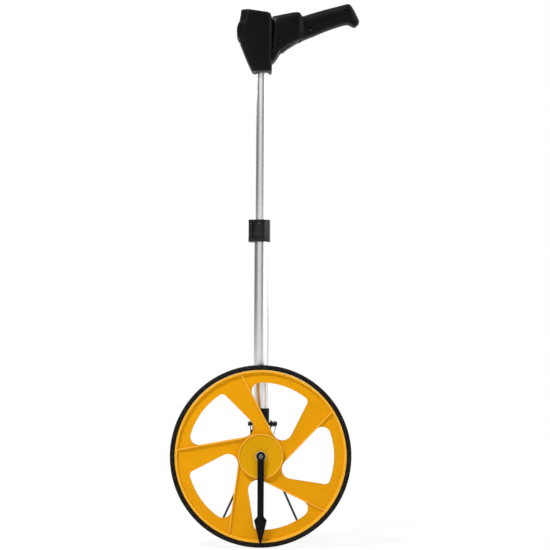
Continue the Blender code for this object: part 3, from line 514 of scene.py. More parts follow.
# %% Plastics and rubber
def moulded(name, light, dark, roughness, grain_mm=0.02, cloud=11.0, gloss=0.5, painted_edge_light=None):
    """Coloured plastic: slow drift between two shades, a fine grain and soft changes of gloss.

    What stands further forward than the given depth, in millimetres, is painted the paler colour given with
    it: a painted highlight for the light that these foremost edges catch.
    """
    made = Finish(name)
    drift, grain = made.noise(cloud, 3.0), made.noise(1500.0, 2.0)
    scuff = made.band(made.noise(70.0, 6.0), 0.58, 0.80)
    colour = made.mix(drift, light, dark)
    if painted_edge_light:
        # Painted highlight: a mask of what stands furthest forward, mottled a little, mixes in the paler
        # colour.
        front = 0.0 - made.node("SeparateXYZ", {}, made.place, out="Y")
        edge_light_mask = made.band(front, (painted_edge_light[0] - 0.5) * MM, painted_edge_light[0] * MM) * (0.75 + 0.25 * scuff)
        colour = made.mix(edge_light_mask, colour, painted_edge_light[1])
    made.set(Base_Color=colour, Roughness=roughness + 0.10 * drift + 0.08 * scuff)
    return made.set(Specular_IOR_Level=gloss).bump(grain, grain_mm)


# The flange lip, the front ribs' tops and the hub cap's rim get a painted highlight: they are painted paler
# in place of the light they catch.
yellow = moulded(
    "wheel_yellow_plastic", (0.82, 0.362, 0.002), (0.76, 0.318, 0.001), 0.36,
    gloss=0.06, painted_edge_light=(6.8, (0.92, 0.48, 0.045)),
)
cover_yellow = moulded(
    "cover_yellow_plastic", (0.74, 0.365, 0.002), (0.68, 0.330, 0.001), 0.42,
    gloss=0.06, painted_edge_light=(9.2, (0.92, 0.47, 0.050)),
)
black = moulded(
    "black_moulded_plastic", (0.0032, 0.0032, 0.0034), (0.0022, 0.0022, 0.0024), 0.34, 0.04, gloss=0.10,
)
gloss_black = moulded(
    "smooth_black_plastic", (0.0080, 0.0080, 0.0085), (0.0060, 0.0060, 0.0065), 0.24, 0.01, gloss=0.3,
)
# The trigger's paler colour is a painted highlight for the light from below that the handle's underside
# catches; its higher gloss is its own.
trigger_black_painted_light = moulded(
    "trigger_plastic_painted_light", (0.016, 0.015, 0.014), (0.009, 0.009, 0.009), 0.28, 0.02, 60.0, gloss=0.55,
)
soft_black = moulded("soft_black_rubber", (0.017, 0.017, 0.017), (0.012, 0.012, 0.012), 0.62, 0.06)
aged_nylon = moulded("aged_nylon", (0.66, 0.52, 0.28), (0.56, 0.42, 0.20), 0.45)
white_nylon = moulded("white_nylon", (0.78, 0.76, 0.70), (0.70, 0.67, 0.60), 0.45)
ferrite = moulded("dark_ferrite", (0.060, 0.058, 0.056), (0.040, 0.039, 0.038), 0.60, 0.05)
board_green = moulded("green_board", (0.020, 0.16, 0.05), (0.015, 0.12, 0.04), 0.35)
cable_black = moulded("cable_jacket", (0.018, 0.018, 0.018), (0.012, 0.012, 0.012), 0.50, 0.05)

tread_rubber = Finish("tread_rubber", Specular_IOR_Level=0.15)
dust = tread_rubber.band(tread_rubber.noise(340.0, 4.0), 0.52, 0.66)
tread_rubber.set(
    Base_Color=tread_rubber.mix(dust, (0.005, 0.0038, 0.0028), (0.034, 0.026, 0.019)),
    Roughness=0.78 + 0.12 * dust,
)
tread_rubber.bump(tread_rubber.noise(900.0, 4.0), 0.12)

# %% Metals
def metal(name, light, dark, roughness, stretch=(1.0, 1.0, 1.0), scale=60.0):
    """Bare or plated metal: a grain drawn out along one axis changes its tone, gloss and relief."""
    made = Finish(name, Metallic=1.0)
    grain, cloud = made.noise(scale, 5.0, stretch), made.noise(9.0, 2.0)
    colour = made.mix(0.6 * grain + 0.4 * cloud, light, dark)
    return made.set(Base_Color=colour, Roughness=roughness + 0.14 * grain).bump(grain, 0.004)


drawn_tube = metal("drawn_aluminium", (0.84, 0.84, 0.85), (0.70, 0.70, 0.71), 0.22, (1.0, 1.0, 0.015), 900.0)
zinc = metal("zinc_plate", (0.66, 0.66, 0.67), (0.48, 0.48, 0.49), 0.26, scale=260.0)
dark_zinc = metal("worn_dark_zinc", (0.20, 0.19, 0.18), (0.12, 0.115, 0.11), 0.38, scale=300.0)
spring_brass = metal("nickel_brass", (0.66, 0.58, 0.38), (0.52, 0.46, 0.30), 0.30, scale=200.0)

coated_steel = Finish("black_coated_steel", Metallic=0.0)
peel = coated_steel.noise(700.0, 2.0)
coated_steel.set(
    Base_Color=coated_steel.mix(coated_steel.noise(30.0), (0.012, 0.012, 0.013), (0.008, 0.008, 0.009)),
    Roughness=0.30 + 0.10 * peel,
)
coated_steel.bump(peel, 0.03)

clear_cover = Finish("clear_window", Base_Color=(0.45, 0.48, 0.50), Alpha=0.10, IOR=1.46)
haze = clear_cover.noise(300.0, 4.0)
clear_cover.set(Roughness=0.04 + 0.06 * haze)
clear_cover.bump(haze, 0.002)

# %% Smooth coats and the table of slots
def coat(name, light, dark, cloud, roughness, change, grain, **constants):
    """A smooth surface: cloudy between two shades, and of a gloss that changes over a finer noise."""
    made = Finish(name, **constants)
    colour = made.mix(made.noise(cloud), light, dark)
    return made.set(Base_Color=colour, Roughness=roughness + change * made.noise(grain))


cell_jacket = coat(
    "cell_jacket", (0.12, 0.22, 0.36), (0.09, 0.18, 0.30), 40.0, 0.28, 0.10, 120.0, Metallic=0.6,
)
lcd_glass = coat("lcd_glass", (0.30, 0.35, 0.27), (0.26, 0.31, 0.23), 30.0, 0.16, 0.06, 200.0)
lcd_ink = coat("lcd_ink", (0.020, 0.024, 0.022), (0.014, 0.017, 0.016), 60.0, 0.22, 0.06, 200.0)
SLOTS = {
    yellow: "yellow_plastic", cover_yellow: "cover_yellow_plastic", tread_rubber: "tyre_rubber",
    black: "black_plastic", gloss_black: "black_plastic", trigger_black_painted_light: "black_plastic",
    soft_black: "soft_black_rubber", aged_nylon: "white_nylon", cable_black: "cable_jacket",
    drawn_tube: "drawn_aluminium", zinc: "zinc_plated_steel", dark_zinc: "zinc_plated_steel",
    coated_steel: "black_coated_steel", clear_cover: "clear_window", lcd_glass: "lcd_glass",
    lcd_ink: "lcd_glass",
}
print(len(bpy.data.materials), "materials")

# %% [markdown]
# Small parts inside the head, the handle and the hub keep the CAD model's own shape. They only need
# the right finish.

# %% CAD parts that keep their shape
dress(zinc, "axle_washer", "clamp_pin", "trigger_pin", "lower_handle_bolt", "upper_handle_bolt")
dress(white_nylon, "front_bush", "rear_bush", "guide_bush")
dress(board_green, "circuit_board", "switch_board", "button_board")
dress(soft_black, "trigger_switch")
dress(cell_jacket, "front_cell", "rear_cell")
dress(spring_brass, "lower_contact", "upper_contact")
dress(ferrite, "magnet_ring")

# %% [markdown]
# ## The wheel
# The centre is one yellow moulding: a thin web with five windows, a flange ring that carries the
# tyre, and a thin rib along one edge of each spoke, in front and behind. A plate with openings
# isn't a grid, so its rounded walls are made as grids and the two faces between them are filled by
# one triangulation. The ring and the ribs are a turned profile and softened bars.

# %% Wheel dimensions
SPOKES = 5
RIB_ANGLE, RIB_OFFSET, RIB_WIDTH = 46.1, 35.9, 2.6
SPOKE_TAPER, SPOKE_EDGE, WINDOW_R = 54.7, 31.3, 128.5
WEB_R, RIB_END_R, FLANGE_R = 147.5, 147.2, 146.2
WINDOW_CORNERS = (15.0, 8.5, 17.5)
WEB_FRONT, WEB_BACK = -4.6, -1.2


def heading(degrees):
    """The unit vector at an angle in the wheel's plane, and the one to its right."""
    a = math.radians(degrees)
    return np.array((math.cos(a), math.sin(a))), np.array((math.sin(a), -math.cos(a)))


def around(centre, radius, first, last, steps):
    """An arc between the directions of two vectors, the short way round."""
    start, end = math.atan2(first[1], first[0]), math.atan2(last[1], last[0])
    sweep = (end - start + math.pi) % (2 * math.pi) - math.pi
    a = start + np.linspace(0.0, 1.0, steps) * sweep
    return np.stack([centre[0] + radius * np.cos(a), centre[1] + radius * np.sin(a)], 1)


def window(turn_by):
    """Two straight edges and the outer arc, joined by three round corners."""
    rib, edge = RIB_OFFSET + RIB_WIDTH / 2, SPOKE_EDGE
    outer_rib, outer_edge, inner = WINDOW_CORNERS
    d1, n1 = heading(RIB_ANGLE + turn_by)
    d2, n2 = heading(RIB_ANGLE + turn_by - SPOKE_TAPER)
    c1 = n1 * (rib + outer_rib) + d1 * math.sqrt((WINDOW_R - outer_rib) ** 2 - (rib + outer_rib) ** 2)
    c2 = n2 * (edge - outer_edge) + d2 * math.sqrt((WINDOW_R - outer_edge) ** 2 - (edge - outer_edge) ** 2)
    c3 = np.linalg.solve(np.array((n1, n2)), np.array((rib + inner, edge - inner)))
    parts = [
        around(c1, outer_rib, -n1, c1, 16), around((0.0, 0.0), WINDOW_R, c1, c2, 40)[1:-1],
        around(c2, outer_edge, c2, n2, 12), around(c3, inner, n2, -n1, 20),
    ]
    return np.concatenate(parts) + np.array(HUB)


def pierced(outer, openings, low, high, edge, steps=5):
    """A plate across Y with openings: rounded walls from slab, and both faces filled between them."""
    walls = [skin(slab(outer, "Y", low, high, edge, steps), caps=False)]
    walls += [skin(slab(opening, "Y", low, high, -edge, steps), caps=False) for opening in openings]
    work = bmesh.new()
    for wall in walls:
        work.from_mesh(wall)
    for level in (low, high):
        rim = [e for e in work.edges if e.is_boundary and abs(e.verts[0].co.y - level * MM) < 1e-7]
        bmesh.ops.triangle_fill(work, edges=rim, use_beauty=True)
    plate = bpy.data.meshes.new("pierced")
    work.to_mesh(plate)
    work.free()
    return plate


def spoke_rib(turn_by, start, low, high):
    """A thin straight bar beside a spoke's edge, tangent to the hub."""
    along, side = heading(RIB_ANGLE + turn_by)
    inner, outer = RIB_OFFSET - RIB_WIDTH / 2, RIB_OFFSET + RIB_WIDTH / 2
    end = math.sqrt(RIB_END_R**2 - outer**2)
    corners = [along * t + side * s + np.array(HUB) for t, s in oblong(start, inner, end, outer)]
    return skin(slab(soften(corners, 0.4, 3), "Y", low, high, 0.5))


# %% Wheel centre
turns = [k * 360.0 / SPOKES for k in range(SPOKES)]
web = pierced(arc(HUB, WEB_R, 0.0, 358.5, 240), [window(k) for k in turns], WEB_FRONT, WEB_BACK, 0.55)
flange = [
    (FLANGE_R, -7.6), (150.3, -7.6), (150.3, 7.6), (FLANGE_R, 7.6), (FLANGE_R, 0.2),
    (144.4, WEB_BACK - 0.4), (144.4, WEB_FRONT + 0.4), (FLANGE_R, -6.2),
]
flange = soften(flange, [0.9, 0.3, 0.3, 0.9, 0.8, 0.0, 0.0, 0.6], 5)
collar = soften(oblong(33.0, WEB_BACK - 0.5, 36.0, 9.0), 0.5, 4)
boss = soften(oblong(6.5, -6.0, 12.0, 11.6), 0.4, 4)
ribs = [spoke_rib(k, 20.0, -7.0, WEB_FRONT + 0.4) for k in turns]
ribs += [spoke_rib(k, 6.0, WEB_BACK - 0.4, 5.0) for k in turns]
rings = [skin(lathe(ring, steps=240), wrap_rows=True) for ring in (flange, collar, boss)]
piece("wheel_moulding", together(web, *rings, *ribs), yellow, "wheel", "wheel_centre")

# %% [markdown]
# The tyre is a solid rubber band with a finely ribbed tread. Its section is carried round the
# axle, and the radius of the tread points rises and falls with the angle.

# %% Tyre
TREAD_RIBS, TREAD_DEPTH = 220, 0.45
section = [
    (150.6, -6.8), (150.6, 6.8), (153.0, 8.0), (157.0, 8.0), (WHEEL_R, 5.6), (WHEEL_R, -5.6), (157.0, -8.0),
    (153.0, -8.0),
]
section = soften(section, [0.2, 0.2, 0.8, 1.2, 1.2, 1.2, 1.2, 0.8], 4)
steps = TREAD_RIBS * 6
angle = 2 * np.pi * np.arange(steps)[:, None] / steps
tread = np.clip((section[:, 0] - 156.4) / 1.6, 0.0, 1.0)[None, :]
groove = 0.5 - 0.5 * np.tanh(2.2 * np.cos(TREAD_RIBS * angle) + 1.0)
r = section[None, :, 0] - TREAD_DEPTH * tread * groove
band = placed(HUB[0] + r * np.cos(angle), HUB[1] + r * np.sin(angle), section[None, :, 1] + 0 * angle, "Y")
piece("tyre_band", skin(band, wrap_rows=True), tread_rubber, "wheel", "tyre", sharp=60.0)

# %% [markdown]
# A pressed cap covers the hub. Its raised rim shows as a bright ring: it catches the light, and its finish
# adds a painted highlight there.

# %% Hub cover
cover = [
    (9.2, -8.0), (36.6, -8.0), (37.4, -9.4), (38.9, -9.4), (39.5, -8.8), (39.5, -5.0), (37.5, -5.0),
    (37.5, -6.4), (9.2, -6.4),
]
cover = soften(cover, [0.2, 0.6, 0.5, 0.5, 0.3, 0.1, 0.1, 0.1, 0.1], 5)
piece("hub_cap", skin(lathe(cover, steps=160), wrap_rows=True), cover_yellow, "wheel", "hub_cover")

# %% [markdown]
# The pointer hangs from the axle like a plumb bob: a flat black bar with an arrow-shaped end, and
# a round boss that the axle's pin goes through.

# %% Pointer
half = np.array([(5.7, 0.0), (5.6, -103.7), (11.2, -110.5), (3.2, -143.5), (1.3, -151.5), (0.5, -152.5)])
outline = np.concatenate([half, half[::-1] * (-1, 1)]) + np.array(HUB)
outline = soften(outline, [0.0, 2.0, 1.0, 3.0, 0.4, 0.2] + [0.2, 0.4, 3.0, 1.0, 2.0, 0.0], 5)
bar = skin(slab(outline, "Y", -14.4, -12.0, 0.5))
ring = soften(oblong(3.3, -15.0, 7.9, -11.3), 0.5, 5)
hanging = together(bar, skin(lathe(ring, steps=64), wrap_rows=True))
piece("plumb_pointer", hanging, black, "pointer", "pointer")

# %% [markdown]
# ## Axle and bearings
# A zinc-plated pin carries the wheel, and its thin front end carries the pointer. A pale washer
# keeps the two apart, and a small screw with a dished head holds the pointer on.

# %% Axle, washer and end screw
axle_line = [
    (0.0, -9.0), (1.6, -9.0), (1.6, -15.4), (3.0, -15.4), (3.0, -9.6), (4.0, -9.6), (4.0, 13.3), (6.2, 13.3),
    (6.2, 14.2), (4.0, 14.2), (4.0, 34.0), (0.0, 34.0),
]
piece("axle_pin", turned(axle_line, "Y", HUB, 0.25), zinc, "lower_mast", "axle")
washer = turned(oblong(3.3, -11.0, 9.5, -9.9), "Y", HUB, 0.3, 96)
piece("pale_washer", washer, aged_nylon, "lower_mast", "pointer_washer")
end_screw = [
    (0.0, -16.3), (1.5, -16.4), (1.9, -17.3), (3.2, -17.1), (4.1, -16.3), (4.25, -15.7), (1.3, -15.7),
    (1.3, -9.6), (0.0, -9.6),
]
piece("dished_screw", turned(end_screw, "Y", HUB, 0.3, 48), dark_zinc, "lower_mast", "axle_end_screw")
corners = arc(HUB, 7.5, 0.0, 300.0, 6)
nut = cut(skin(slab(soften(corners, 0.5, 3), "Y", 26.6, 33.0, 0.5)), drill(4.3, "Y", HUB, 20.0, 40.0))
piece("hex_nut", nut, zinc, "lower_mast", "axle_nut")

# %% [markdown]
# ## Bracket, sensor and stand
# A black moulded bracket takes the foot of the mast in a socket and reaches forward to the axle.
# Behind it a steel yoke with two bent rods folds down as the stand. The rods are a circle carried
# along a path whose bends are softened.

# %% Bracket
socket = [(3.0, 198.0), (15.0, 198.0), (15.0, 241.0), (13.3, 241.0), (13.3, 204.1), (3.0, 204.1)]
upper_arm = [(12.0, 200.0), (9.0, 226.0), (-9.0, 226.0), (-12.0, 200.0)]
arm = np.concatenate([arc(HUB, 13.0, 180.0, 360.0, 25), upper_arm])
lug = np.concatenate([arc((58.0, 212.0), 8.0, -90.0, 90.0, 19), [(44.0, 220.0), (44.0, 204.0)]])
solids = [
    turned(socket, "Z", MAST, [0.3, 1.0, 0.9, 0.4, 0.2, 0.2]),
    skin(slab(soften(arm, 1.0, 3), "Y", 14.5, 22.5, 0.8)),
    turned(oblong(4.3, 16.0, 12.0, 24.5), "Y", HUB, 0.6),
    skin(slab(soften(lug, 1.0, 3), "X", -13.5, 13.5, 0.8)),
]
piece("mast_bracket", together(*solids), black, "lower_mast", "fork_bracket")
case = soften(oblong(-7.0, 178.0, 7.0, 189.0), 1.4, 4)
snout = turned(oblong(0.0, 12.0, 3.0, 24.2), "Y", (0.0, 184.0))
sensor = together(skin(slab(case, "Y", 7.0, 14.2, 0.6)), snout)
piece("turn_sensor", sensor, black, "lower_mast", "sensor_housing")
screw = pan_screw(-15.4, -1.0, 3.4, 2.5, 1.8, -10.6, "X", (36.0, 232.0))
piece("clamping_screw", screw, zinc, "lower_mast", "socket_screw")


# %% Paths
def bent(path, cut_back, steps=7):
    """An open path whose inner corners are cut back and rounded by a parabola."""
    path = np.asarray(path, float)
    before, after = path[:-2] - path[1:-1], path[2:] - path[1:-1]
    length = [np.linalg.norm(step, axis=1)[:, None] for step in (before, after)]
    reach = np.minimum(cut_back, 0.48 * np.minimum(*length))
    first, last = path[1:-1] + before / length[0] * reach, path[1:-1] + after / length[1] * reach
    return np.concatenate([path[:1], parabola(first, path[1:-1], last, steps), path[-1:]])


lead = [
    (24.5, 184.0), (27.0, 184.1), (29.8, 185.0), (32.4, 186.9), (34.6, 189.8), (35.8, 193.4), (36.0, 197.5),
    (36.0, 245.7),
]
lead = bent([(0.0, y, z) for y, z in lead], 1.6, 5)
piece("sensor_cable", skin(rod(lead, 1.6, 20)), cable_black, "lower_mast", "sensor_lead")

# %% Stand
STAND = Matrix.Translation((0.0, 0.058, 0.212)) @ Matrix.Rotation(math.radians(23.5), 4, "X")
LEG_DEPTH, LEG_R = 1.9, 2.1
LEG = [(2.6, -16.0), (2.6, -33.0), (3.1, -38.4), (79.0, -224.0)]
BOOT_R, BOOT_GROOVE = 5.0, 4.5


def on_stand(name, mesh, finish, node, slot=None):
    """A piece drawn straight down from the stand's pin, then tilted back to where the stand rests."""
    mesh.transform(STAND)
    return piece(name, mesh, finish, "stand", node, slot=slot)


flank = [(-6.0, -46.0), (-3.0, -50.0), (6.2, -50.0), (6.2, -15.0)]
cheek = soften(np.concatenate([arc((0.0, 0.0), 7.0, 0.0, 180.0, 21), flank]), 1.2, 3)
plate = soften(oblong(-18.7, -50.0, 18.7, -15.0), 1.5, 4)
yoke = [skin(slab(cheek, "X", low, low + 1.8, 0.35)) for low in (16.9, -18.7)]
yoke.append(skin(slab(plate, "Y", 4.4, 6.2, 0.35)))
yoke.append(turned(oblong(3.3, 18.2, 5.5, 21.4), "X", (0.0, 0.0)))
on_stand("folding_yoke", together(*yoke), coated_steel, "stand_yoke")
pin = [
    (0.0, -22.9), (3.4, -22.9), (4.0, -22.3), (4.0, -19.2), (3.0, -19.2), (3.0, 28.4), (4.2, 28.4),
    (4.2, 29.4), (3.6, 29.8), (0.0, 29.8),
]
on_stand("pivot_pin", turned(pin, "X", (0.0, 0.0), 0.25, 40), coated_steel, "stand_pin")
for name, side in (("left", -1.0), ("right", 1.0)):
    leg = skin(rod(bent([(side * x, LEG_DEPTH, z) for x, z in LEG], 9.0), LEG_R, 20, (0.0, 1.0, 0.0)))
    on_stand(f"{name}_rod", leg, coated_steel, f"{name}_leg")
    boot = [(0.0, 9.0), (3.2, 8.6), (BOOT_R, 6.5)]
    for groove in (1.2, -4.8, -10.8):
        boot += [(BOOT_R, groove + 0.8), (BOOT_GROOVE, groove), (BOOT_R, groove - 0.8)]
    boot += [(BOOT_R, -16.0), (4.2, -18.0), (2.4, -18.0), (2.4, 0.6), (0.0, 0.6)]
    boot = turned(boot, "Z", (0.0, 0.0), 0.4, 40)
    knee, end = (Vector((side * x, LEG_DEPTH, z)) * MM for x, z in LEG[-2:])
    aim = (end - knee).normalized()
    boot.transform(STAND @ Matrix.Translation(end) @ aim.to_track_quat("Z", "Y").to_matrix().to_4x4())
    place = np.array([v.co for v in boot.vertices])
    place[:, 2] = np.maximum(place[:, 2], 0.0)
    boot.vertices.foreach_set("co", place.ravel())
    piece(f"{name}_boot", boot, soft_black, "stand", f"{name}_foot")

turn_by = 2 * np.pi * np.linspace(0.0, 3.0, 100)
coil = np.stack([27.4 - 1.7 * turn_by / (2 * np.pi), 4.9 * np.cos(turn_by), 4.9 * np.sin(turn_by)], 1)
hook = [(15.8, 7.3, -26.6), (22.6, 7.3, -26.6), (24.2, 7.1, -25.0), (27.4, 5.6, -8.0), (27.4, 4.9, 0.0)]
hook = bent(hook, 1.5)
wire = skin(rod(np.concatenate([hook[:-1], coil]), 0.6, 10, (1.0, 0.2, 0.3)))
on_stand("return_spring", wire, coated_steel, "stand_spring", "zinc_plated_steel")

# %% [markdown]
# ## The mast
# Two drawn aluminium tubes slide in each other. A turned tube is the simplest surface there is;
# what sells it is the softened lip at its end and the lengthwise grain of its finish.

# %% Tubes
LOWER_R, UPPER_R, TUBE_WALL, TUBE_LIP = 13.0, 11.25, 1.2, 0.35
for name, outer, low, high in (("lower", LOWER_R, 204.4, 566.0), ("upper", UPPER_R, 519.0, 880.0)):
    wall = turned(oblong(outer - TUBE_WALL, low, outer, high), "Z", MAST, TUBE_LIP, 96)
    piece(f"{name}_mast_tube", wall, drawn_tube, f"{name}_mast", f"{name}_tube")

# %% [markdown]
# Inside the tubes a curly cable joins the sensor to the head. Its jacket is wound hot on a rod, so
# that it stretches as the mast is pulled out. It is a helix, with its turns drawn in at both ends.

# %% Curly cable
CURLS, CURL_R, CORD_R, CURL_LOW, CURL_HIGH = 74, 4.0, 1.3, 246.2, 867.5
t = np.linspace(0.0, 1.0, CURLS * 12 + 1)
a, reach = 2 * np.pi * CURLS * t, CURL_R * np.clip(60.0 * np.minimum(t, 1.0 - t), 0.15, 1.0)
curls = np.stack([reach * np.cos(a), MAST[1] + reach * np.sin(a), CURL_LOW + (CURL_HIGH - CURL_LOW) * t], 1)
curls = skin(rod(curls, CORD_R, 8, (0.0, 0.0, 1.0)))
curly = piece("curly_cable", curls, cable_black, None, "coiled_cable")
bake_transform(curly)

# %% [markdown]
# A collar on the lower tube clamps the upper one. It is split on the left, where a lever with a
# cam squeezes it: the lever lies in a recess, so the collar is a ring and a jaw with that room
# taken out of both.

# %% Lever clamp
PIVOT = (-19.6, 30.0)
CLAMP_LOW, CLAMP_HIGH = 538.2, 578.0
ring = [
    (13.3, CLAMP_LOW), (15.3, CLAMP_LOW), (15.3, CLAMP_HIGH), (11.55, CLAMP_HIGH), (11.55, 566.4),
    (13.3, 566.4),
]
jaw = [
    (-24.0, 27.5), (-21.5, 25.0), (-8.0, 25.0), (-8.0, 47.0), (-19.0, 47.0), (-21.5, 44.5), (-21.5, 38.0),
    (-24.0, 35.0),
]
room = np.concatenate([arc(MAST, 15.75, 179.0, 262.0, 24), [(-2.0, 10.0), (-32.0, 10.0), (-32.0, 36.3)]])
room = placed(room[:, 0], room[:, 1], np.array([[547.8], [571.3]]), "Z")
ring = turned(ring, "Z", MAST, [0.3, 1.2, 1.2, 0.3, 0.1, 0.1], 96)
jaw = skin(slab(soften(jaw, 1.0, 4), "Z", CLAMP_LOW, CLAMP_HIGH, 0.6))
bores = drill(LOWER_R + 0.2, "Z", MAST, 530.0, 566.3, 64), drill(UPPER_R + 0.25, "Z", MAST, 560.0, 590.0, 64)
jaw = cut(jaw, *bores)
blades = (brick((-30.0, 38.6, 530.0), (-9.0, 40.1, 590.0)), drill(1.9, "Z", PIVOT, 530.0, 590.0))
collar = together(*(cut(part, *(blade.copy() for blade in blades), skin(room)) for part in (ring, jaw)))
piece("split_collar", collar, gloss_black, "lower_mast", "clamp_collar", sharp=30.0)
outside, inside = arc(MAST, 19.4, 203.0, 271.5, 30), arc(MAST, 16.0, 270.0, 207.0, 26)
band = np.concatenate([outside, [(0.9, 18.2), (0.9, 20.6)], inside])
lever = together(
    skin(slab(soften(band, 0.5, 3), "Z", 548.3, 570.8, 0.9)),
    turned(oblong(1.9, 548.3, 4.2, 570.8), "Z", PIVOT, 0.7),
)
piece("cam_lever", lever, gloss_black, "clamp_lever", "clamp_lever")
adjuster = [(0.0, 47.4), (0.0, 49.0), (1.2, 49.1), (1.3, 50.0), (2.6, 49.6), (3.4, 48.6), (3.4, 47.4)]
adjuster = turned(adjuster, "Y", (-16.0, 558.0), 0.2, 32)
piece("adjusting_screw", adjuster, zinc, "lower_mast", "clamp_adjuster")

# %% [markdown]
# ## Head and handle
# The display head is a tapering box in two halves, and the handle a hollow pistol grip, also in
# two halves, so both have a fine joint line along the middle. A table of sections gives their
# shape: between two rows every number runs straight, and a softened row makes the bend smooth.

# %% Sections into shells
def eased(table, reach, steps=5):
    """Softens the inner rows of a table of sections, and keeps its two ends."""
    table = np.asarray(table, float)
    before, after = table[:-2] - table[1:-1], table[2:] - table[1:-1]
    length = [np.maximum(np.abs(step[:, :1]), 1e-6) for step in (before, after)]
    first = table[1:-1] + before * np.minimum(0.48, reach / length[0])
    last = table[1:-1] + after * np.minimum(0.48, reach / length[1])
    return np.concatenate([table[:1], parabola(first, table[1:-1], last, steps), table[-1:]])


SEAM = 0.15
TOP_SLOPE, TOP_LEFT = 0.13774, -39.8
# Each row: height, left, right, half the depth, and how much the row slopes down to the right.
HEAD_LEVELS = [
    (845.8, -18.2, 16.3, 18.0, 0.0), (850.0, -20.8, 16.5, 19.4, 0.0), (868.0, -28.8, 16.5, 23.0, 0.0),
    (904.0, -43.4, 16.5, 29.0, 0.0), (911.0, -46.6, 16.5, 30.0, 0.0), (918.0, -47.4, 16.5, 31.0, 0.0),
    (925.0, -46.8, 16.5, 31.5, 0.0), (931.0, -45.0, 16.4, 31.8, 0.0), (934.0, -42.8, 16.4, 32.0, 0.0),
    (947.4, -40.4, 16.0, 32.0, TOP_SLOPE),
]


def bevelled(left, right, half_depth):
    """Corners of one half of a section, from left to right: a wide bevel and then a narrow one."""
    wide_x, wide_y, narrow = 0.22 * (right - left), 0.36 * half_depth, 5.0
    return [
        (left, half_depth - wide_y), (left + wide_x, half_depth),
        (right - narrow, half_depth), (right, half_depth - narrow),
    ]


def sloped(x, y, z, slope):
    """A section's points, each lower by slope times its distance from the left end of the top."""
    return np.stack([x, MAST[1] + y, z - slope * (x - TOP_LEFT)], 1)


def head_half(side):
    """Half of each section, from the joint at the left round the outside to the joint at the right."""
    rows = []
    for z, left, right, half_depth, slope in eased(HEAD_LEVELS, 2.0):
        corners = [(left, SEAM), *bevelled(left, right, half_depth), (right, SEAM)]
        x, y = soften(corners, [0.35, 3.0, 3.0, 2.5, 2.5, 0.35], 6).T
        rows.append(sloped(x, side * y, z, slope))
    return np.stack(rows)


# %% Handle
# Each row: distance along the handle, top, bottom, half the width, and the superellipse's power.
GRIP_LEVELS = [
    (16.8, 946.5, 862.0, 20.0, 5.0), (22.0, 947.2, 866.5, 22.4, 5.0), (26.5, 948.1, 874.0, 22.6, 5.0),
    (31.0, 949.0, 882.2, 22.6, 5.0), (36.0, 950.1, 885.4, 22.6, 5.0), (44.6, 951.9, 892.2, 22.6, 5.0),
    (54.0, 953.8, 897.4, 22.5, 5.0), (60.5, 954.4, 900.8, 22.5, 5.0), (64.5, 954.2, 902.6, 22.3, 4.8),
    (67.0, 953.5, 903.6, 21.4, 4.3), (70.0, 949.1, 904.6, 19.4, 3.5), (72.5, 948.3, 905.6, 18.1, 3.0),
    (78.0, 950.6, 907.8, 17.5, 2.8), (92.4, 955.5, 913.5, 17.2, 2.6), (110.0, 960.8, 921.2, 16.9, 2.5),
    (125.0, 964.9, 927.0, 16.9, 2.5), (139.0, 968.7, 931.8, 17.2, 2.5), (147.5, 971.0, 934.4, 17.5, 2.5),
    (153.6, 972.6, 935.2, 17.4, 2.5), (157.4, 971.4, 933.7, 16.9, 2.5), (161.0, 967.2, 931.7, 16.0, 2.5),
    (166.2, 958.7, 929.3, 13.6, 2.5), (170.6, 949.6, 932.7, 10.4, 2.4), (174.0, 943.6, 936.4, 4.5, 2.2),
]


def grip_half(side, points=26):
    """Half of each section by the superellipse formula |y/b|^p + |z/c|^p = 1, closed along the joint."""
    rows = []
    a = np.radians(np.linspace(-90.0, 90.0, points))
    c, s = np.cos(a), np.sin(a)
    for x, top, bottom, half_width, power in eased(GRIP_LEVELS, 2.5):
        y = np.maximum(half_width * np.abs(c) ** (2.0 / power), SEAM)
        z = (top + bottom) / 2 + (top - bottom) / 2 * np.sign(s) * np.abs(s) ** (2.0 / power)
        rows.append(np.stack([x + 0 * y, MAST[1] + side * y, z], 1))
    return np.stack(rows)


# %% Frames of the two sloping faces
def frame_of(along, out, middle):
    """A turn and shift to a face: x along it, z out of it, and y along the depth of the head."""
    along, out = Vector(along).normalized(), Vector(out).normalized()
    across = out.cross(along)
    return Matrix.Translation(Vector(middle) * MM) @ Matrix((along, across, out)).transposed().to_4x4()


ON_TOP = frame_of((1.0, 0.0, -TOP_SLOPE), (TOP_SLOPE, 0.0, 1.0), (-13.3, 36.0, 952.05))
ON_SLANT = frame_of((-14.6, 0.0, 36.0), (-36.0, 0.0, -14.6), (-36.1, 36.0, 886.0))


def at(place, mesh):
    """The mesh moved into a face's frame."""
    mesh.transform(place)
    return mesh


def tile(low, high, radius, edge, place=None):
    """A plate with rounded corners, lying on a face."""
    outline = soften(oblong(*low[:2], *high[:2]), radius, 6)
    plate = skin(slab(outline, "Z", low[2], high[2], edge))
    return plate if place is None else at(place, plate)


# %% Head shells
for name, side in (("front", -1.0), ("rear", 1.0)):
    recess = tile((-17.3, -17.3, -4.0), (17.3, 17.3, 3.0), 2.2, 0.0, ON_SLANT)
    blades = [recess, drill(UPPER_R + 0.3, "Z", MAST, 830.0, 880.3, 64)]
    if side > 0:
        blades.append(drill(3.2, "Y", (-19.5, 866.0), 50.6, 80.0))
    shell = cut(skin(head_half(side)), *blades)
    piece(f"head_{name}_half", shell, black, "upper_mast", f"head_{name}_shell", sharp=28.0)

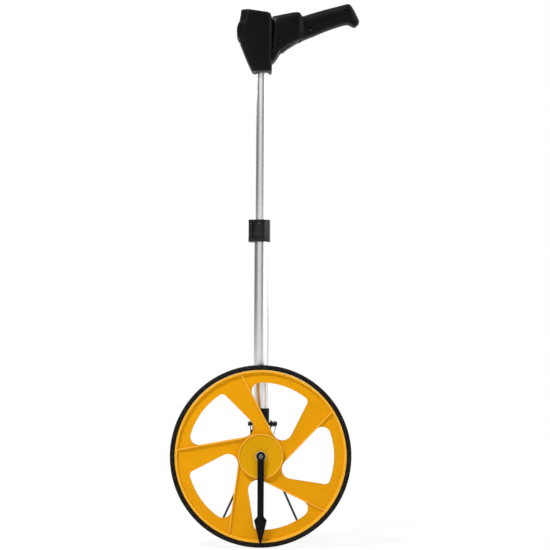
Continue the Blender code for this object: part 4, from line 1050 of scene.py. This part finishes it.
cover = [tile((-17.0, -17.0, -2.3), (17.0, 17.0, -0.3), 2.0, 0.4, ON_SLANT)]
for k in range(4):
    cover.append(tile((-14.0 + 2.4 * k, -9.0, -0.6), (-12.8 + 2.4 * k, 9.0, 0.2), 0.5, 0.3, ON_SLANT))
piece("cell_cover", together(*cover), black, "upper_mast", "battery_cover")
screw = at(ON_SLANT, pan_screw(-0.1, 1.0, 2.6, 1.7, 1.3, -7.0, "Z", (12.5, 0.0)))
piece("cover_fixing", screw, zinc, "upper_mast", "cover_screw")
screw = pan_screw(50.9, 1.0, 2.9, 2.1, 1.4, 17.0, "Y", (-19.5, 866.0))
piece("neck_fixing", screw, zinc, "upper_mast", "neck_screw")

# %% [markdown]
# The display lies in the sloping top, out of the camera's sight: a frame, a clear window and a
# panel with three seven-bar digits. The reader stands at the handle, so the digits are drawn for
# someone who looks from there.

# %% Display
def head_row(z, left, right, half_depth):
    """One whole section of the head's top with rounded corners."""
    rear = bevelled(left, right, half_depth)
    corners = [(x, -y) for x, y in rear] + rear[::-1]
    x, y = soften(corners, [3.0, 3.0, 2.5, 2.5, 2.5, 2.5, 3.0, 3.0], 6).T
    return sloped(x, y, z, TOP_SLOPE)


rows = [
    (947.7, -40.2, 15.6, 31.8), (948.1, -40.4, 15.75, 32.0), (954.2, -39.95, 13.7, 31.7),
    (955.3, -39.5, 13.1, 31.2), (955.7, -38.8, 12.4, 30.5),
]
frame_solid = skin(np.stack([head_row(*row) for row in rows]))
opening = tile((-17.5, -24.5, -12.0), (19.5, 24.5, 4.0), 2.0, 0.0, ON_TOP)
seat = tile((-19.3, -26.3, -12.0), (21.3, 26.3, -2.2), 1.0, 0.0, ON_TOP)
pane = tile((-19.0, -26.0, -4.2), (21.0, 26.0, -2.5), 1.0, 0.2, ON_TOP)
panel = tile((-18.0, -25.0, -7.6), (20.0, 25.0, -4.6), 0.8, 0.1, ON_TOP)
piece("display_frame", cut(frame_solid, opening, seat), black, "upper_mast", "display_bezel", sharp=28.0)
piece("clear_pane", pane, clear_cover, "upper_mast", "display_window")
piece("reading_panel", panel, lcd_glass, "upper_mast", "lcd_panel")

# %% Digits
# The six bars of a zero: place across, place up in half heights, and whether the bar is upright.
ZERO = [(0, 2, False), (0, 0, False), (-1, 1.5, True), (1, 1.5, True), (-1, 0.5, True), (1, 0.5, True)]
INK_LOW, INK_HIGH = -4.62, -4.52


def digit(bars, middle, high=15.0, wide=7.6, thick=1.3):
    """Seven-bar digit: each bar is a small hexagon, upright or level, on the panel's face."""
    made = []
    for across, up, upright in bars:
        reach = (high / 4 if upright else wide / 2) - 0.6
        half = thick / 2
        corner = reach - half
        hexagon = np.array(
            [(-reach, 0), (-corner, -half), (corner, -half), (reach, 0), (corner, half), (-corner, half)]
        )
        hexagon = hexagon[:, ::-1] if upright else hexagon
        right, rise = middle + across * wide / 2 + hexagon[:, 0], (up - 1) * high / 2 + hexagon[:, 1]
        ink = placed(1.0 - rise, right, np.array([[INK_LOW], [INK_HIGH]]), "Z")
        made.append(at(ON_TOP, skin(ink)))
    return made


figures = [bar for middle in (-12.0, 1.5, 13.0) for bar in digit(ZERO, middle)]
figures.append(tile((7.4, -5.9, INK_LOW), (8.9, -4.4, INK_HIGH), 0.3, 0.0, ON_TOP))
piece("reading", together(*figures), lcd_ink, "upper_mast")

# %% Handle shells
TRIGGER_PIVOT = (61.0, 906.0)
GRIP_SCREWS = ((30.5, 900.0, 14.8), (86.0, 922.0, 20.4), (150.0, 955.0, 20.4))
BUTTONS = (("power", 33.0), ("hold", 43.0), ("reset", 53.0))
for name, side in (("front", -1.0), ("rear", 1.0)):
    blades = [brick((24.0, 28.6, 850.0), (68.5, 43.4, 911.5))]
    blades += [drill(3.9, "Z", (x, 36.0), 940.0, 962.0) for _, x in BUTTONS]
    if side < 0:
        blades += [drill(3.3, "Y", (x, z), 0.0, face + 2.5) for x, z, face in GRIP_SCREWS]
    shell = cut(skin(grip_half(side)), *blades)
    piece(f"grip_{name}_half", shell, black, "upper_mast", f"grip_{name}_shell", sharp=28.0)
for k, (x, z, face) in enumerate(GRIP_SCREWS, 1):
    screw = pan_screw(face + 2.1, -1.0, 2.9, 2.1, 1.4, 50.0, "Y", (x, z))
    piece(f"grip_fixing_{k}", screw, coated_steel, "upper_mast", f"grip_screw_{k}", slot="zinc_plated_steel")

# %% [markdown]
# The trigger pivots at its rear end and fills a slot in the handle's underside. A small coil spring
# pushes it out. Three buttons stand in the saddle between head and grip.

# %% Trigger and buttons
outline = [
    (31.8, 881.7), (35.8, 881.7), (39.4, 885.0), (44.6, 889.1), (52.0, 894.0), (59.0, 898.3), (64.0, 902.0),
    (65.4, 906.0), (63.6, 909.6), (60.0, 910.2), (54.0, 906.6), (47.0, 901.6), (40.0, 896.6), (33.6, 891.6),
]
lever = skin(slab(soften(outline, 1.6, 5), "Y", 29.2, 42.8, 1.6, 6))
lever = cut(lever, drill(1.8, "Y", TRIGGER_PIVOT, 20.0, 50.0))
piece("trigger_lever", lever, trigger_black_painted_light, "trigger", "trigger")
t = np.linspace(0.0, 1.0, 97)
a = 2 * np.pi * 6.0 * t
coil = np.stack([44.0 + 2.2 * np.cos(a), MAST[1] + 2.2 * np.sin(a), 903.1 + 10.6 * t], 1)
coil = skin(rod(coil, 0.35, 8, (0.0, 0.0, 1.0)))
spring = piece("trigger_coil", coil, zinc, "upper_mast", "trigger_spring")
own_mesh(spring)
for name, x in BUTTONS:
    top = 949.5 + (x - 33.0) * 0.205
    cap = [(0.0, 1.6), (2.2, 1.55), (3.6, 0.9), (3.6, -4.2), (4.9, -4.2), (4.9, -5.2), (0.0, -5.2)]
    cap = turned([(r, top + h) for r, h in cap], "Z", (x, MAST[1]), 0.4, 48)
    key = f"{name}_button"
    piece(f"{name}_key", cap, soft_black, key, key)
